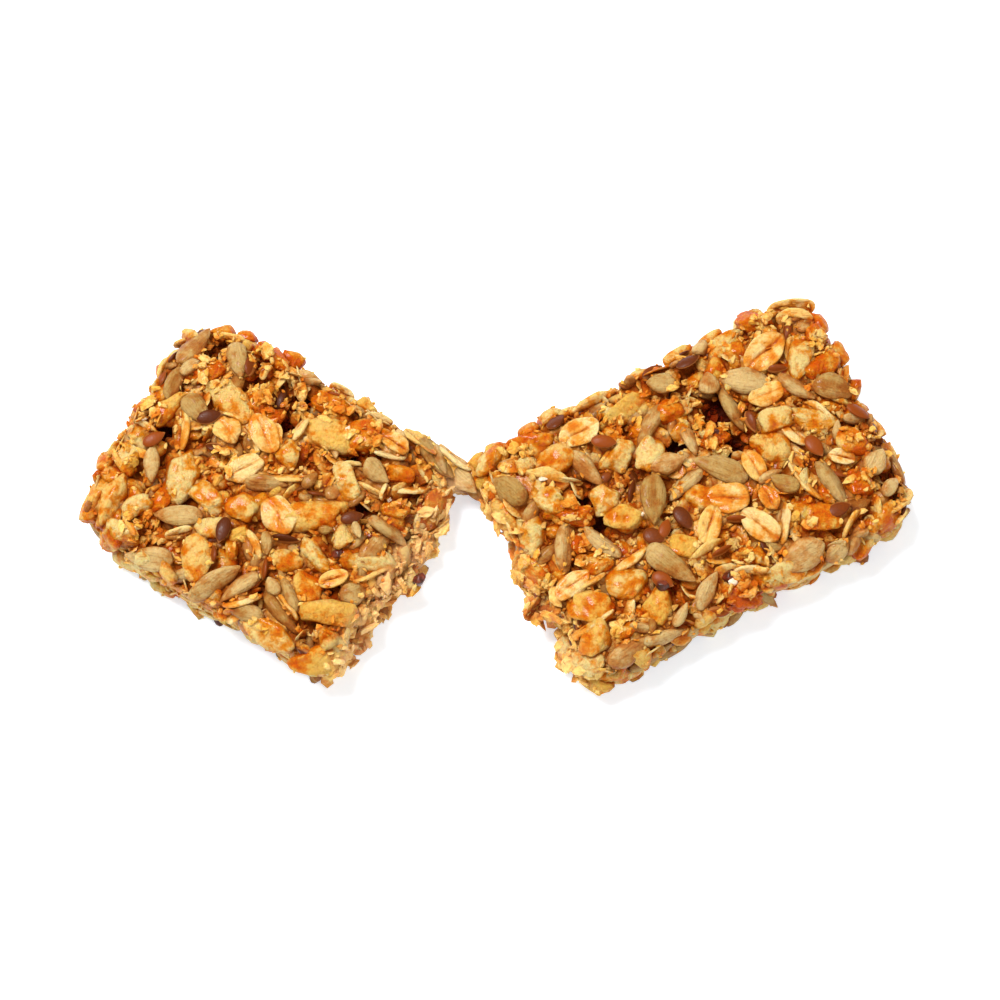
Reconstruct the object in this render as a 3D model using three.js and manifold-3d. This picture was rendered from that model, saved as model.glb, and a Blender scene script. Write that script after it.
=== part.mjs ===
// A granola bar torn across the middle, its two halves still held together at one corner
// by a thin neck of syrup. It lies flat on its pressed underside, the plane z = 0.
// Millimetres, +Z up, X along the widest reach of the open bar.
import Module from 'manifold-3d';
import * as THREE from 'three';
import { mergeVertices } from 'three/addons/utils/BufferGeometryUtils.js';

// ---- Driving dimensions, mm ----
const barThickness = 12.2;
const pressedEdge = { reach: 5, drop: 3 }; // how the top rounds off along the pressed edges
const tornEdge = { reach: 6.5, drop: 4.6 }; // how the top falls away towards the tear
const swell = { height: 0.5, acrossX: 6.3, acrossY: 5.1 }; // slow waves of the top
const boundMass = { under: 1.5, lumps: 1.2, inset: 1.8, footInset: 2.6, outlineSteps: 30 };
const wallRows = { heights: [2.5, 6.6], spacing: 8.4, sunk: 0.35 };
const gapFill = { spacing: 6.4, clear: 2.6, fromEdge: 1.4 };
const neck = { x: -4.6, y: 3.4, length: 17, width: 8.4, top: 7.6, middle: 3.4, turn: -12 };
const mostPieces = 190; // the largest showing pieces, which are fused on
const closest = 0.83; // two fused pieces' centres, as a share of their mean reaches
const originShift = { x: 0, y: -0.75 };
const barColour = 0xd8933f;

// Each half seen from above, starting where its far pressed edge meets the tear
const leftHalf = {
  outline: [
    [-9, 7.8], [-17, 12.4], [-25, 17.4], [-33, 21.6], [-40, 26.2], [-46, 28.8], [-51.5, 28.2],
    [-55.2, 25], [-58.6, 17.6], [-63, 12], [-66.6, 4.8], [-68.9, -0.5], [-67.8, -5.4],
    [-63, -10.4], [-54, -16.4], [-44.5, -21.7], [-37, -26], [-29.8, -30.4], [-24.6, -28.6],
    [-20.8, -23.6], [-17, -18.2], [-12.6, -12.4], [-9.6, -7.6], [-7, -1.5],
  ],
  tear: [[-8, 1], [-25, -29]],
  middle: [-37, 0],
};
const rightHalf = {
  outline: [
    [-2.8, 6.4], [3.4, 10.4], [10, 14.8], [19.8, 19.4], [28, 23], [35.4, 27.6], [41.6, 31],
    [47.4, 33], [52.6, 32], [55.8, 27], [59.6, 19.6], [64, 11.8], [68.3, 3.6], [69, -1.4],
    [66.4, -5.4], [59, -9.8], [50, -14.4], [40, -19.6], [30, -25.4], [21, -30.6], [15.4, -32.4],
    [12, -28.6], [10.4, -23], [7.2, -18.6], [4.2, -13.6], [2.4, -8], [0, -4.4], [-2.8, -0.6],
  ],
  tear: [[-3, -2], [14, -32]],
  middle: [33, 1],
};

// The kinds of piece: width and thickness in mm as base + share of the length or width,
// how pointed one end is, how domed and how rough, and how far its top stands proud
const kinds = {
  kernel: {
    sides: 6, widthShare: 0.42, thickBase: 0.8, thickShare: 0.4,
    point: 0.75, dome: 1, rough: 0.02, proud: 0.1,
  },
  seed: {
    sides: 6, widthShare: 0.52, thickBase: 0.7, thickShare: 0.25,
    point: 0.5, dome: 1, rough: 0, proud: -0.3,
  },
  crisp: {
    sides: 6, widthShare: 0.5, thickBase: 1.4, thickShare: 0.5,
    point: 0, dome: 0.8, rough: 0.14, proud: 0.3,
  },
  oat: {
    sides: 7, widthShare: 0.55, thickBase: 1.5, thickShare: 0.05,
    point: 0, dome: 0.35, rough: 0.06, proud: -0.2,
  },
};

// The showing pieces of the top, kind by kind: x, y, turn in degrees, length, width as seen.
// A kernel's or a seed's turn is the way that its tip points.
const showing = {
  kernel: [
    [-50.2, 13.9, -50, 6, 4], [-57.3, 4, -90, 6, 2.7], [-52.7, -4.7, 180, 8.2, 3.8],
    [-50.8, 24.8, 58, 8.5, 3.8], [-51.2, 21.3, 40, 4.5, 2.3], [-54, 18.7, 68, 7, 2.7],
    [-43.5, 22.5, -80, 7, 3.5], [-31.2, 19.3, -20, 6, 2.2], [-38.5, 1, -5, 8, 2.5],
    [-31, 1.2, 45, 3.5, 2], [-38, -9.5, -85, 4, 2], [-46.5, -15.9, 33, 10, 4],
    [-42.5, -16.6, 217, 8, 2.8], [-41.5, -21.2, 165, 7, 3.2], [-34.2, -17.5, 114, 8.8, 2.2],
    [-35.5, -21.3, -52, 9.8, 2.4], [-10.3, 5.2, -35, 9, 3.5], [-20.2, 2.7, -50, 5.5, 3.6],
    [-5.4, 2.2, -62, 6.4, 3.8], [-17.8, -7, -32, 8.5, 3], [-23.7, -18, 20, 5, 4], [-57.5, -12, 180, 8.7, 4.4],
    [40.8, 19.1, 175, 9.8, 4.8], [49.8, 17.8, -35, 7.3, 3], [39, 14, -62, 8.4, 2.4],
    [35.2, 18.2, 90, 4, 3.6], [25, 11.2, 242, 8.6, 2.9], [14.6, 3.5, -50, 7.8, 3.2],
    [1.9, -0.1, 145, 7, 4.6], [28.2, 4.5, 15, 6.4, 3.6], [31, 1.2, 225, 8, 3],
    [36.9, 3.8, 157, 10, 4.4], [25.6, -1.9, -90, 8.8, 4.4], [47.3, 0.7, 160, 5.2, 3.2],
    [55.7, 0.8, -60, 10, 4], [45, 2.2, 30, 4.5, 1.4], [62.6, 4.8, 60, 5.2, 3.8],
    [56.3, 10.2, 90, 4, 1.8], [56, 18, -10, 7, 4.8], [10.9, -10.3, -93, 9.6, 3.2],
    [16.8, -9, 140, 8.4, 2.8], [28.3, -13.2, -38, 10, 4.4], [34.3, -17.2, 65, 7.4, 3],
    [50, -11.6, 215, 8.4, 5.4], [56.2, -10.6, 60, 5.8, 3.4], [27.1, -25.4, 15, 8, 3],
    [23.7, -23.7, -10, 4.5, 1.8], [30, -21.6, 65, 4.5, 1.8], [58.8, -8.6, 80, 6, 1.9],
    [64.8, 0.2, 50, 4, 2.5], [27.2, 18.3, 170, 5, 3.6], [34, 24.8, 80, 4, 2.6],
    [21.6, -27.9, 35, 8.6, 4],
  ],
  seed: [
    [-47.9, 12.3, 15, 4.4, 2.4], [-57, 8.5, 30, 4.2, 2.2], [-56.2, 19.3, 60, 3, 1.8],
    [-41.3, 21.8, 80, 4.6, 2.2], [-46.3, 7, -15, 4.6, 2], [-45.3, -7.3, -105, 4.7, 2.4],
    [-35, -8.6, -8, 5, 1.3], [-24, -5.2, 15, 4, 2.2], [9.7, 11.8, 60, 4, 2.8],
    [17.6, 8, -5, 4.4, 2.3], [31.8, 22.2, 30, 4.5, 2.3], [25.9, 20.6, 50, 4.4, 1.4],
    [46.7, 21, 5, 3.5, 1.4], [60, 13.4, -20, 4.5, 2.4], [52.5, 7.3, -55, 4.4, 2.7],
    [56.2, -3.7, 25, 4.5, 2.4], [30.6, -5.2, -55, 4.8, 2.7], [25.7, -8.3, -20, 3.9, 2.9],
    [27.5, -6.9, 70, 3.5, 2], [22.2, -0.3, 78, 4.6, 1.6], [44.2, -10.3, -60, 3.8, 1.6],
    [36.3, -21.4, -15, 4, 1.6], [67.2, -3, 75, 5, 1.2], [42, 11.6, -70, 4, 1.8],
  ],
  crisp: [
    [-54.5, 14.5, 45, 7, 3.5], [-53, 2.7, 70, 8.5, 5.5], [-61.2, 5.5, 60, 5, 4],
    [-64, -2, 60, 9, 4], [-66.6, -2, 60, 7, 2.5], [-59.7, -2.8, 45, 5, 3.5],
    [-47.7, -1.8, -50, 7, 4], [-47.5, -6.5, 20, 5, 3.5], [-44.2, 15.3, -55, 8, 5],
    [-27.5, 15, -15, 7, 4], [-28, 9.8, -28, 10, 5], [-34.7, 6, -60, 4.5, 3.5],
    [-29.5, -3.8, 5, 11, 5.5], [-42, -3, -15, 5.5, 4.5], [-49.3, -11.5, 90, 8, 5],
    [-35, -12, 0, 6, 4], [-29.8, -11.5, -45, 6.5, 3], [-31.3, -16.8, 90, 6, 4.5],
    [-27, -22, 3, 11, 4.8], [-37.2, -24.2, -25, 8.5, 4.8], [-29.3, -28.8, 0, 9, 5],
    [-27.3, -26, -30, 5, 3], [-22.2, 8.8, 80, 6.5, 5.5], [-16.3, 2.8, -5, 4.5, 2.8],
    [-24.8, 1.3, 110, 6.5, 4.2], [-17, -3.7, -10, 4.5, 2.3], [-11, -3.8, 65, 10.5, 6.5],
    [-25.8, -8, 120, 4, 3.4], [-21.5, -12, -15, 8.5, 3.5], [-48, 20.3, 20, 5.6, 4.6],
    [-36.7, 22.3, -30, 5, 4], [-39.5, 24.5, 20, 4.4, 3.6], [-39.8, 15.5, 30, 4.6, 3.8],
    [-62, -7.4, -30, 6, 4.6],
    [21, 14, 37, 10.5, 4.5], [5.5, 7.8, 12, 8.6, 3.2], [-1.2, 5, 28, 6, 3], [9.5, 5, 45, 6, 4.5],
    [19.8, 6.4, 60, 6.5, 4.5], [25.3, 6.3, 60, 6, 4], [17.6, -1.6, 30, 4.8, 4.4],
    [20.8, -5.2, -10, 5.8, 4.4], [8.8, -1.9, -30, 5, 4], [5.8, -6.5, -80, 9, 4],
    [1.4, -5, -50, 7, 4], [6.1, -14, 40, 8.6, 6.4], [33.7, -1.4, 0, 5.4, 5],
    [30.5, -9.8, 0, 5, 4.4], [21.7, -16.2, -10, 7.4, 5.2], [26.1, -20, 45, 6, 5],
    [45.2, 7.4, 0, 6, 5.4], [45.7, 12.5, 20, 6.5, 4.4], [52.3, 12.2, -30, 7.8, 5],
    [50.3, 22.6, 70, 6.5, 4], [53.4, 27.3, 60, 5.6, 4.6], [54, 22, 50, 5.8, 4.6],
    [37.3, 25.3, 38, 9, 4.4], [58.9, 8, 0, 5.6, 4.4], [60.4, 0.8, 0, 5, 4.4],
    [61.1, -7.2, 75, 8, 3.8], [39.8, -18.2, 0, 7.8, 6], [47, -14.6, 20, 8, 4],
    [14.6, -19.4, -20, 8, 6], [16.4, -25.4, 60, 6, 4.6], [14.8, -28.8, 0, 6.5, 5],
    [53.6, -5, 0, 6, 4], [28.8, 13.6, 20, 4.6, 4], [12.6, -4.4, 0, 6.6, 4], [43, 29.3, 0, 5.6, 4.8],
    [36, 9, 0, 5, 4], [16, -12.6, 20, 5, 4], [50, -3.6, 0, 5, 4], [42, -11.4, 20, 5, 4],
    [64.4, -4.6, 60, 5, 4],
  ],
  oat: [
    [-52.7, 10.5, 90, 6.8, 3.3], [-58.7, 10.8, -28, 4.5, 1.8], [-61, -7, 20, 5, 1.5],
    [-52.5, -7.5, 15, 4.5, 1.5], [-55.8, 21.5, 60, 4.5, 1.5], [-45, 10.3, -50, 5, 4],
    [-44.5, 26.5, -10, 5, 2], [-33, 10.5, 60, 5, 2.2], [-38.8, 9.5, -65, 7, 4.5],
    [-41, 8.5, -65, 5, 2.5], [-42, 3.5, 30, 6.4, 4], [-34.5, 2.5, 0, 8.5, 3],
    [-36.2, -4.6, -62, 7, 5], [-40.7, -9.5, -60, 6, 3], [-42, -19, 14, 6.5, 1.8],
    [-34.6, -20.3, -52, 5, 1.5], [-27, -15.5, 22, 5, 2.8], [-18, 6.3, -12, 5.5, 2.5],
    [-17, 7.8, -30, 5, 3], [-14, 9, -45, 4, 2.5], [-7.2, 5.2, -36, 7, 1.6],
    [-14.7, 0.2, 0, 6, 2.2], [-21.3, -0.3, -25, 4.5, 1.5], [-20.5, -14.8, 20, 7, 2.5],
    [-26.3, 17.3, -28, 4.5, 1.6],
    [49.6, 31.4, 0, 7.5, 2.8], [49.8, 29.4, 0, 6, 1.6], [44.5, 24, 45, 8.5, 6],
    [44.7, 16.5, 25, 6, 3.8], [51.1, 2, -52, 8.5, 3.7], [49.1, 10.2, -42, 6.5, 3.4],
    [53.5, 13.5, -40, 6, 1.5], [8, 1.7, -10, 7.5, 3.6], [34.9, -6.2, 75, 6.7, 3.8],
    [34.4, -10.6, 35, 6.5, 2.6], [43.2, -6.4, -35, 7, 4.6], [46.6, -5.7, 85, 7.4, 3.4],
    [44.7, -1.7, -60, 4.4, 3], [38, -1.6, 0, 7, 5], [42.5, -14.7, -12, 7.8, 3.6],
    [50.8, -13.2, 15, 6.4, 3.4], [58.2, -6, 65, 5.4, 1.6], [66, -1.9, 32, 7.4, 1.8],
    [12.2, -16.5, 35, 6.5, 3.6], [15.2, -15.8, 30, 5.5, 1.6], [21.7, -11.3, 38, 7.4, 3.6],
    [15.9, 15.3, 30, 8, 1.6], [7.4, -20, 20, 6, 4], [15.2, -22.8, 30, 8, 2.6],
    [42.4, 4, -60, 6, 3.4], [57, 5.5, -10, 4.4, 2.6], [2.6, -7, -75, 7, 2.6],
  ],
};

// Deep pockets between the pieces: x, y, radius
const pockets = [
  [-56, 10, 1.8], [-32, 15.4, 1.8], [-40, 18.7, 1.6], [-36, 11.8, 1.6], [-43, -13.6, 1.8],
  [-39.5, -17.2, 1.6], [-24, 5.6, 1.6], [-23.5, -3, 1.6], [-51, -1, 1.6],
  [36.8, 14, 2.4], [21.7, 4.2, 1.8], [39.3, 7.4, 1.8], [14, -3, 1.8], [17.6, -6.8, 2],
  [27.4, -16.4, 2], [29, 7.6, 1.6], [12.4, -26.4, 1.8], [8, -5.6, 1.6], [55.4, -6.6, 1.4],
];

// ---- Even, repeatable chance drawn from a place ----
function chance(x, y, salt) {
  const drawn = Math.sin(x * 12.9898 + y * 78.233 + salt * 37.719) * 43758.5453;
  return drawn - Math.floor(drawn);
}

// ---- The bar's form ----
function smoothOutline(points) {
  const corners = points.map(([x, y]) => new THREE.Vector3(x, y, 0));
  const curve = new THREE.CatmullRomCurve3(corners, true, 'centripetal');
  const rim = curve.getSpacedPoints(boundMass.outlineSteps).slice(0, -1);
  return THREE.ShapeUtils.area(rim) < 0 ? rim.reverse() : rim; // anticlockwise from above
}

const halves = [leftHalf, rightHalf].map((half) => ({ ...half, rim: smoothOutline(half.outline) }));

function distanceToSegment(x, y, [ax, ay], [bx, by]) {
  const along = ((x - ax) * (bx - ax) + (y - ay) * (by - ay)) / ((bx - ax) ** 2 + (by - ay) ** 2);
  const share = THREE.MathUtils.clamp(along, 0, 1);
  return Math.hypot(x - ax - share * (bx - ax), y - ay - share * (by - ay));
}

// Distance in from the rim: positive inside the half, negative outside it
function depthInside(half, x, y) {
  let nearest = Infinity;
  let inside = false;
  half.rim.forEach((from, i) => {
    const to = half.rim[(i + 1) % half.rim.length];
    nearest = Math.min(nearest, distanceToSegment(x, y, [from.x, from.y], [to.x, to.y]));
    const crosses = from.y > y !== to.y > y;
    if (crosses && x < from.x + ((y - from.y) / (to.y - from.y)) * (to.x - from.x)) {
      inside = !inside;
    }
  });
  return inside ? nearest : -nearest;
}

function fall(distance, { reach, drop }) {
  const share = THREE.MathUtils.clamp(1 - distance / reach, 0, 1);
  return drop * share * share;
}

function neckHeight(x, y) {
  const turn = THREE.MathUtils.degToRad(neck.turn);
  const along = (x - neck.x) * Math.cos(turn) + (y - neck.y) * Math.sin(turn);
  const across = (y - neck.y) * Math.cos(turn) - (x - neck.x) * Math.sin(turn);
  const reach = Math.hypot((2 * along) / neck.length, (2 * across) / neck.width);
  return reach < 1 ? neck.middle + (neck.top - neck.middle) * Math.sqrt(1 - reach * reach) : 0;
}

// Height of the tops of the pieces over a place
function topHeight(x, y) {
  const [left, right] = halves.map((half) => depthInside(half, x, y));
  const half = left > right ? halves[0] : halves[1];
  const inside = Math.max(left, right, 0);
  const fromTear = distanceToSegment(x, y, ...half.tear);
  const wave = swell.height * Math.sin(x / swell.acrossX) * Math.cos(y / swell.acrossY);
  const height = barThickness + wave - fall(inside, pressedEdge) - fall(fromTear, tornEdge);
  return Math.max(height, neckHeight(x, y));
}

function topNormal(x, y) {
  const step = 1;
  const slopeX = (topHeight(x + step, y) - topHeight(x - step, y)) / (2 * step);
  const slopeY = (topHeight(x, y + step) - topHeight(x, y - step)) / (2 * step);
  return new THREE.Vector3(-slopeX, -slopeY, 1).normalize();
}

// ---- Closed meshes ----
function ringedMesh(rings, lowest, highest) {
  const points = [lowest, ...rings.flat(), highest];
  const sides = rings[0].length;
  const last = points.length - 1;
  const faces = [];
  for (let i = 0; i < sides; i += 1) {
    const next = (i + 1) % sides;
    faces.push(0, 1 + next, 1 + i);
    for (let ring = 0; ring < rings.length - 1; ring += 1) {
      const low = 1 + ring * sides;
      const high = low + sides;
      faces.push(low + i, low + next, high + next, low + i, high + next, high + i);
    }
    faces.push(last - sides + i, last - sides + next, last);
  }
  const geometry = new THREE.BufferGeometry().setFromPoints(points);
  geometry.setIndex(faces);
  return geometry;
}

// The sticky mass that carries the pieces: a slab that follows the half's outline and top
function boundMassForm(half) {
  const [middleX, middleY] = half.middle;
  const ringAt = (inset, heightAt) => half.rim.map((point) => {
    const reach = Math.hypot(point.x - middleX, point.y - middleY);
    const share = Math.max(1 - inset / reach, 0.12);
    const x = middleX + (point.x - middleX) * share;
    const y = middleY + (point.y - middleY) * share;
    return new THREE.Vector3(x, y, heightAt(x, y));
  });
  const under = (x, y) => (
    topHeight(x, y) - boundMass.under + boundMass.lumps * (chance(x, y, 13) - 0.5));
  const rings = [
    ringAt(boundMass.footInset, () => 0),
    ringAt(boundMass.inset, () => 1),
    ringAt(boundMass.inset, (x, y) => 0.7 * under(x, y)),
    ringAt(boundMass.inset + 1, under),
    ringAt(boundMass.inset + 8, under),
  ];
  const foot = new THREE.Vector3(middleX, middleY, 0);
  const crown = new THREE.Vector3(middleX, middleY, under(middleX, middleY));
  return ringedMesh(rings, foot, crown);
}

function roundForm(x, y, z, length, width, height, turn, sides, rows) {
  const form = new THREE.SphereGeometry(0.5, sides, rows).rotateX(Math.PI / 2);
  form.scale(length, width, height).rotateZ(THREE.MathUtils.degToRad(turn));
  return form.translate(x, y, z);
}

function neckForm() {
  const height = 2 * (neck.top - neck.middle);
  return roundForm(neck.x, neck.y, neck.middle, neck.length, neck.width, height, neck.turn, 14, 8);
}

function pocketForm([x, y, radius]) {
  const depth = 4.4;
  return roundForm(x, y, topHeight(x, y) - boundMass.under, 2 * radius, 2 * radius, depth, 0, 8, 4);
}

// One piece about its own centre, its length along X and its tip towards +X
function pieceForm(kind, { x, y, length, width, thickness }) {
  const form = new THREE.SphereGeometry(0.5, kind.sides, 3).rotateX(Math.PI / 2);
  const ringRadius = 0.5 * Math.sin(Math.PI / 3);
  const position = form.attributes.position;
  for (let i = 0; i < position.count; i += 1) {
    const along = position.getX(i) / ringRadius;
    const across = position.getY(i) / ringRadius;
    const up = position.getZ(i);
    const onRing = Math.abs(up) < 0.4;
    const taper = 1 - 0.5 * kind.point * Math.max(along, 0);
    const place = Math.round(along * 10) + 7 * Math.round(across * 10) + Math.round(up * 10);
    const uneven = 1 + kind.rough * (2 * chance(x + place, y, 5) - 1);
    const level = Math.sign(up) * (onRing ? 1 - 0.5 * kind.dome : 1);
    position.setXYZ(
      i,
      along * uneven * length * 0.5,
      across * uneven * taper * width * 0.5,
      level * uneven * thickness * 0.5,
    );
  }
  return form;
}

// ---- Where the pieces lie ----
function thicknessOf(kind, width) {
  return kind.thickBase + kind.thickShare * width;
}

// A piece of the top: what looks narrower than its kind is wide stands rolled on its edge
function topPiece(name, [x, y, turn, length, shown]) {
  const kind = kinds[name];
  const width = Math.max(shown, kind.widthShare * length);
  const thickness = thicknessOf(kind, width);
  const flatness = THREE.MathUtils.clamp((shown - 0.3 * thickness) / width, 0.1, 1);
  const side = chance(x, y, 1) < 0.5 ? -1 : 1;
  const roll = side * Math.acos(shown < width ? flatness : 1) + 0.25 * (chance(x, y, 2) - 0.5);
  const lift = kind.proud + 0.5 * (chance(x, y, 3) - 0.5);
  const halfHeight = (width * Math.abs(Math.sin(roll)) + thickness * Math.abs(Math.cos(roll))) / 2;
  const heading = THREE.MathUtils.degToRad(turn);
  return {
    kind, x, y, length, width, thickness, roll,
    z: topHeight(x, y) + lift - halfHeight,
    normal: topNormal(x, y),
    ahead: new THREE.Vector3(Math.cos(heading), Math.sin(heading), 0),
  };
}

function drawnKind(x, y) {
  const drawn = chance(x, y, 4);
  if (drawn < 0.45) {
    return { name: 'crisp', length: 5 + 2.5 * chance(x, y, 6), share: 0.72 };
  }
  if (drawn < 0.8) {
    return { name: 'oat', length: 6 + 2 * chance(x, y, 6), share: 0.66 };
  }
  return { name: 'kernel', length: 7.5 + 2 * chance(x, y, 6), share: 0.44 };
}

// Pieces on the upright walls, in rows round each half
function wallPieces(half, other) {
  const pieces = [];
  const rim = half.rim;
  wallRows.heights.forEach((height, row) => {
    let walked = wallRows.spacing * (0.2 + 0.5 * row);
    rim.forEach((from, i) => {
      const to = rim[(i + 1) % rim.length];
      const stretch = from.distanceTo(to);
      while (walked < stretch) {
        const at = from.clone().lerp(to, walked / stretch);
        walked += wallRows.spacing;
        const ahead = to.clone().sub(from).normalize();
        const outward = new THREE.Vector3(ahead.y, -ahead.x, 0);
        const covered = depthInside(other, at.x, at.y) > -1.5 || neckHeight(at.x, at.y) > 3;
        const torn = distanceToSegment(at.x, at.y, ...half.tear) < 3;
        if (!covered && !(torn && row === 1)) {
          const { name, length, share } = drawnKind(at.x, at.y + height);
          const kind = kinds[name];
          const width = share * length;
          const thickness = thicknessOf(kind, width);
          const tilt = (torn ? 1.2 : 0.5) * (chance(at.x, at.y, 7) - 0.5);
          const normal = outward.clone().setZ(torn ? 0.5 : 0.1 + tilt * 0.4).normalize();
          ahead.z = (torn ? 1.6 : 0.9) * (chance(at.x, at.y, 8) - 0.5);
          const centre = at.addScaledVector(outward, -wallRows.sunk * thickness - 0.3);
          pieces.push({
            kind, length, width, thickness, normal, ahead, roll: tilt,
            x: centre.x, y: centre.y, z: height + 0.8 * (chance(at.x, at.y, 9) - 0.5),
          });
        }
      }
      walked -= stretch;
    });
  });
  return pieces;
}

// Pieces where the top would otherwise be bare, on a staggered grid
function gapPieces(laid) {
  const pieces = [];
  const rowStep = gapFill.spacing * Math.sin(Math.PI / 3);
  for (let row = 0, y = -34; y < 34; row += 1, y += rowStep) {
    for (let x = -70 + 0.5 * gapFill.spacing * (row % 2); x < 70; x += gapFill.spacing) {
      const atX = x + 2 * (chance(x, y, 10) - 0.5);
      const atY = y + 2 * (chance(x, y, 11) - 0.5);
      const depth = Math.max(...halves.map((half) => depthInside(half, atX, atY)));
      const crowded = laid.some((piece) => {
        const reach = 0.25 * (piece.length + piece.width) + gapFill.clear;
        return Math.hypot(piece.x - atX, piece.y - atY) < reach;
      });
      const pocketed = pockets.some(([px, py, radius]) => (
        Math.hypot(px - atX, py - atY) < radius + 2));
      if (depth > gapFill.fromEdge && !crowded && !pocketed) {
        const { name, length, share } = drawnKind(atX, atY);
        const turn = 360 * chance(atX, atY, 12);
        pieces.push(topPiece(name, [atX, atY, turn, 0.9 * length, 0.9 * share * length]));
      }
    }
  }
  return pieces;
}

function allPieces() {
  const laid = Object.entries(showing)
    .flatMap(([name, rows]) => rows.map((row) => topPiece(name, row)));
  const walls = [...wallPieces(halves[0], halves[1]), ...wallPieces(halves[1], halves[0])];
  return [...laid, ...walls, ...gapPieces(laid)];
}

// The largest come first, and one that would lie almost on another is left out
function fusedPieces() {
  const bulk = (piece) => piece.length * piece.width * piece.thickness;
  const reach = (piece) => 0.25 * (piece.length + piece.width);
  const kept = [];
  allPieces().sort((a, b) => bulk(b) - bulk(a)).forEach((piece) => {
    const crowded = kept.some((other) => {
      const apart = Math.hypot(piece.x - other.x, piece.y - other.y, piece.z - other.z);
      return apart < closest * (reach(piece) + reach(other));
    });
    if (!crowded && kept.length < mostPieces) {
      kept.push(piece);
    }
  });
  return kept;
}

function placedForm(piece) {
  const across = new THREE.Vector3().crossVectors(piece.normal, piece.ahead).normalize();
  const ahead = new THREE.Vector3().crossVectors(across, piece.normal);
  const matrix = new THREE.Matrix4().makeBasis(ahead, across, piece.normal);
  matrix.multiply(new THREE.Matrix4().makeRotationX(piece.roll));
  matrix.setPosition(piece.x, piece.y, piece.z);
  return pieceForm(piece.kind, piece).applyMatrix4(matrix);
}

// ---- Joining ----
const wasm = await Module();
wasm.setup();

function toSolid(geometry) {
  const bare = new THREE.BufferGeometry();
  bare.setAttribute('position', geometry.attributes.position);
  bare.setIndex(geometry.index);
  const welded = mergeVertices(bare, 1e-4);
  return new wasm.Manifold(new wasm.Mesh({
    numProp: 3,
    vertProperties: new Float32Array(welded.attributes.position.array),
    triVerts: new Uint32Array(welded.index.array),
  }));
}

function toGeometry(solid) {
  const mesh = solid.getMesh();
  const geometry = new THREE.BufferGeometry();
  geometry.setAttribute('position', new THREE.BufferAttribute(mesh.vertProperties, 3));
  geometry.setIndex(new THREE.BufferAttribute(mesh.triVerts, 1));
  geometry.computeVertexNormals();
  return geometry;
}

function fusedBar() {
  let bar = toSolid(neckForm());
  halves.forEach((half) => { bar = bar.add(toSolid(boundMassForm(half))); });
  pockets.forEach((pocket) => { bar = bar.subtract(toSolid(pocketForm(pocket))); });
  fusedPieces().forEach((piece) => { bar = bar.add(toSolid(placedForm(piece))); });
  const below = new THREE.BoxGeometry(200, 120, 20).translate(0, 0, -10);
  bar = bar.subtract(toSolid(below));
  const bodies = bar.decompose().sort((a, b) => b.volume() - a.volume());
  return toGeometry(bodies[0]); // sealed hollows and loose scraps are left behind
}

const granolaBar = new THREE.Mesh(
  fusedBar(),
  new THREE.MeshStandardMaterial({ color: barColour, roughness: 0.45, metalness: 0 }),
);
granolaBar.name = 'granola_bar';
granolaBar.position.set(originShift.x, originShift.y, 0);

const model = new THREE.Group();
model.add(granolaBar);
export default model;
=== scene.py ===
# A granola bar torn in two, its halves still joined at one corner by a thin neck of syrup.
# Lengths are in millimetres, apart from the studio's; meshes are scaled to metres as they are made.
import math

import bmesh
import bpy
import numpy as np
from mathutils import Matrix, Vector
from mathutils.bvhtree import BVHTree


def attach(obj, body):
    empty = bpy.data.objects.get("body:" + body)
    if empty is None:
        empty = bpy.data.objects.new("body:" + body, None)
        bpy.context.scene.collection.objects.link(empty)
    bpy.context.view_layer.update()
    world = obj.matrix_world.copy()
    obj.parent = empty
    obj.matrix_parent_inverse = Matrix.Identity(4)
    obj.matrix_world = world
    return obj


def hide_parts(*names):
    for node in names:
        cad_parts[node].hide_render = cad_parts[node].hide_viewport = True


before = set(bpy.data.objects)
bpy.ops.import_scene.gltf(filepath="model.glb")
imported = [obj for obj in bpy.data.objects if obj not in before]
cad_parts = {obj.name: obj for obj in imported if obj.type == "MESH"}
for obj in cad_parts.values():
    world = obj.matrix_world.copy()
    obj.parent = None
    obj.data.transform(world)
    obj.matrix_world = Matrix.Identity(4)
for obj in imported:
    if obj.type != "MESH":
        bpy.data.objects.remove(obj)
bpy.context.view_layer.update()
mm = 0.001
print("frame loaded")


# The bar's form, as the solid has it
barForm = {
    "thickness": 12.2,
    "pressedEdge": {"reach": 5, "drop": 3},
    "tornEdge": {"reach": 6.5, "drop": 4.6, "paleAndLit": (1, 3.5)},  # paler as far as this and gone past that: partly the fresh crumb, partly painted light
    "swell": {"height": 0.5, "acrossX": 6.3, "acrossY": 5.1},
    "rimSteps": 30,
    "shift": np.array([0, -0.75, 0]),  # from the middle of the places below to the frame's
    "lowest": 0.02,
    "gridStep": 0.5,
    "gridX": (-74, 74),
    "gridY": (-38, 38),
}
neck = {"x": -4.6, "y": 3.4, "length": 17, "width": 8.4, "top": 7.6, "middle": 3.4, "turn": -12}

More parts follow.
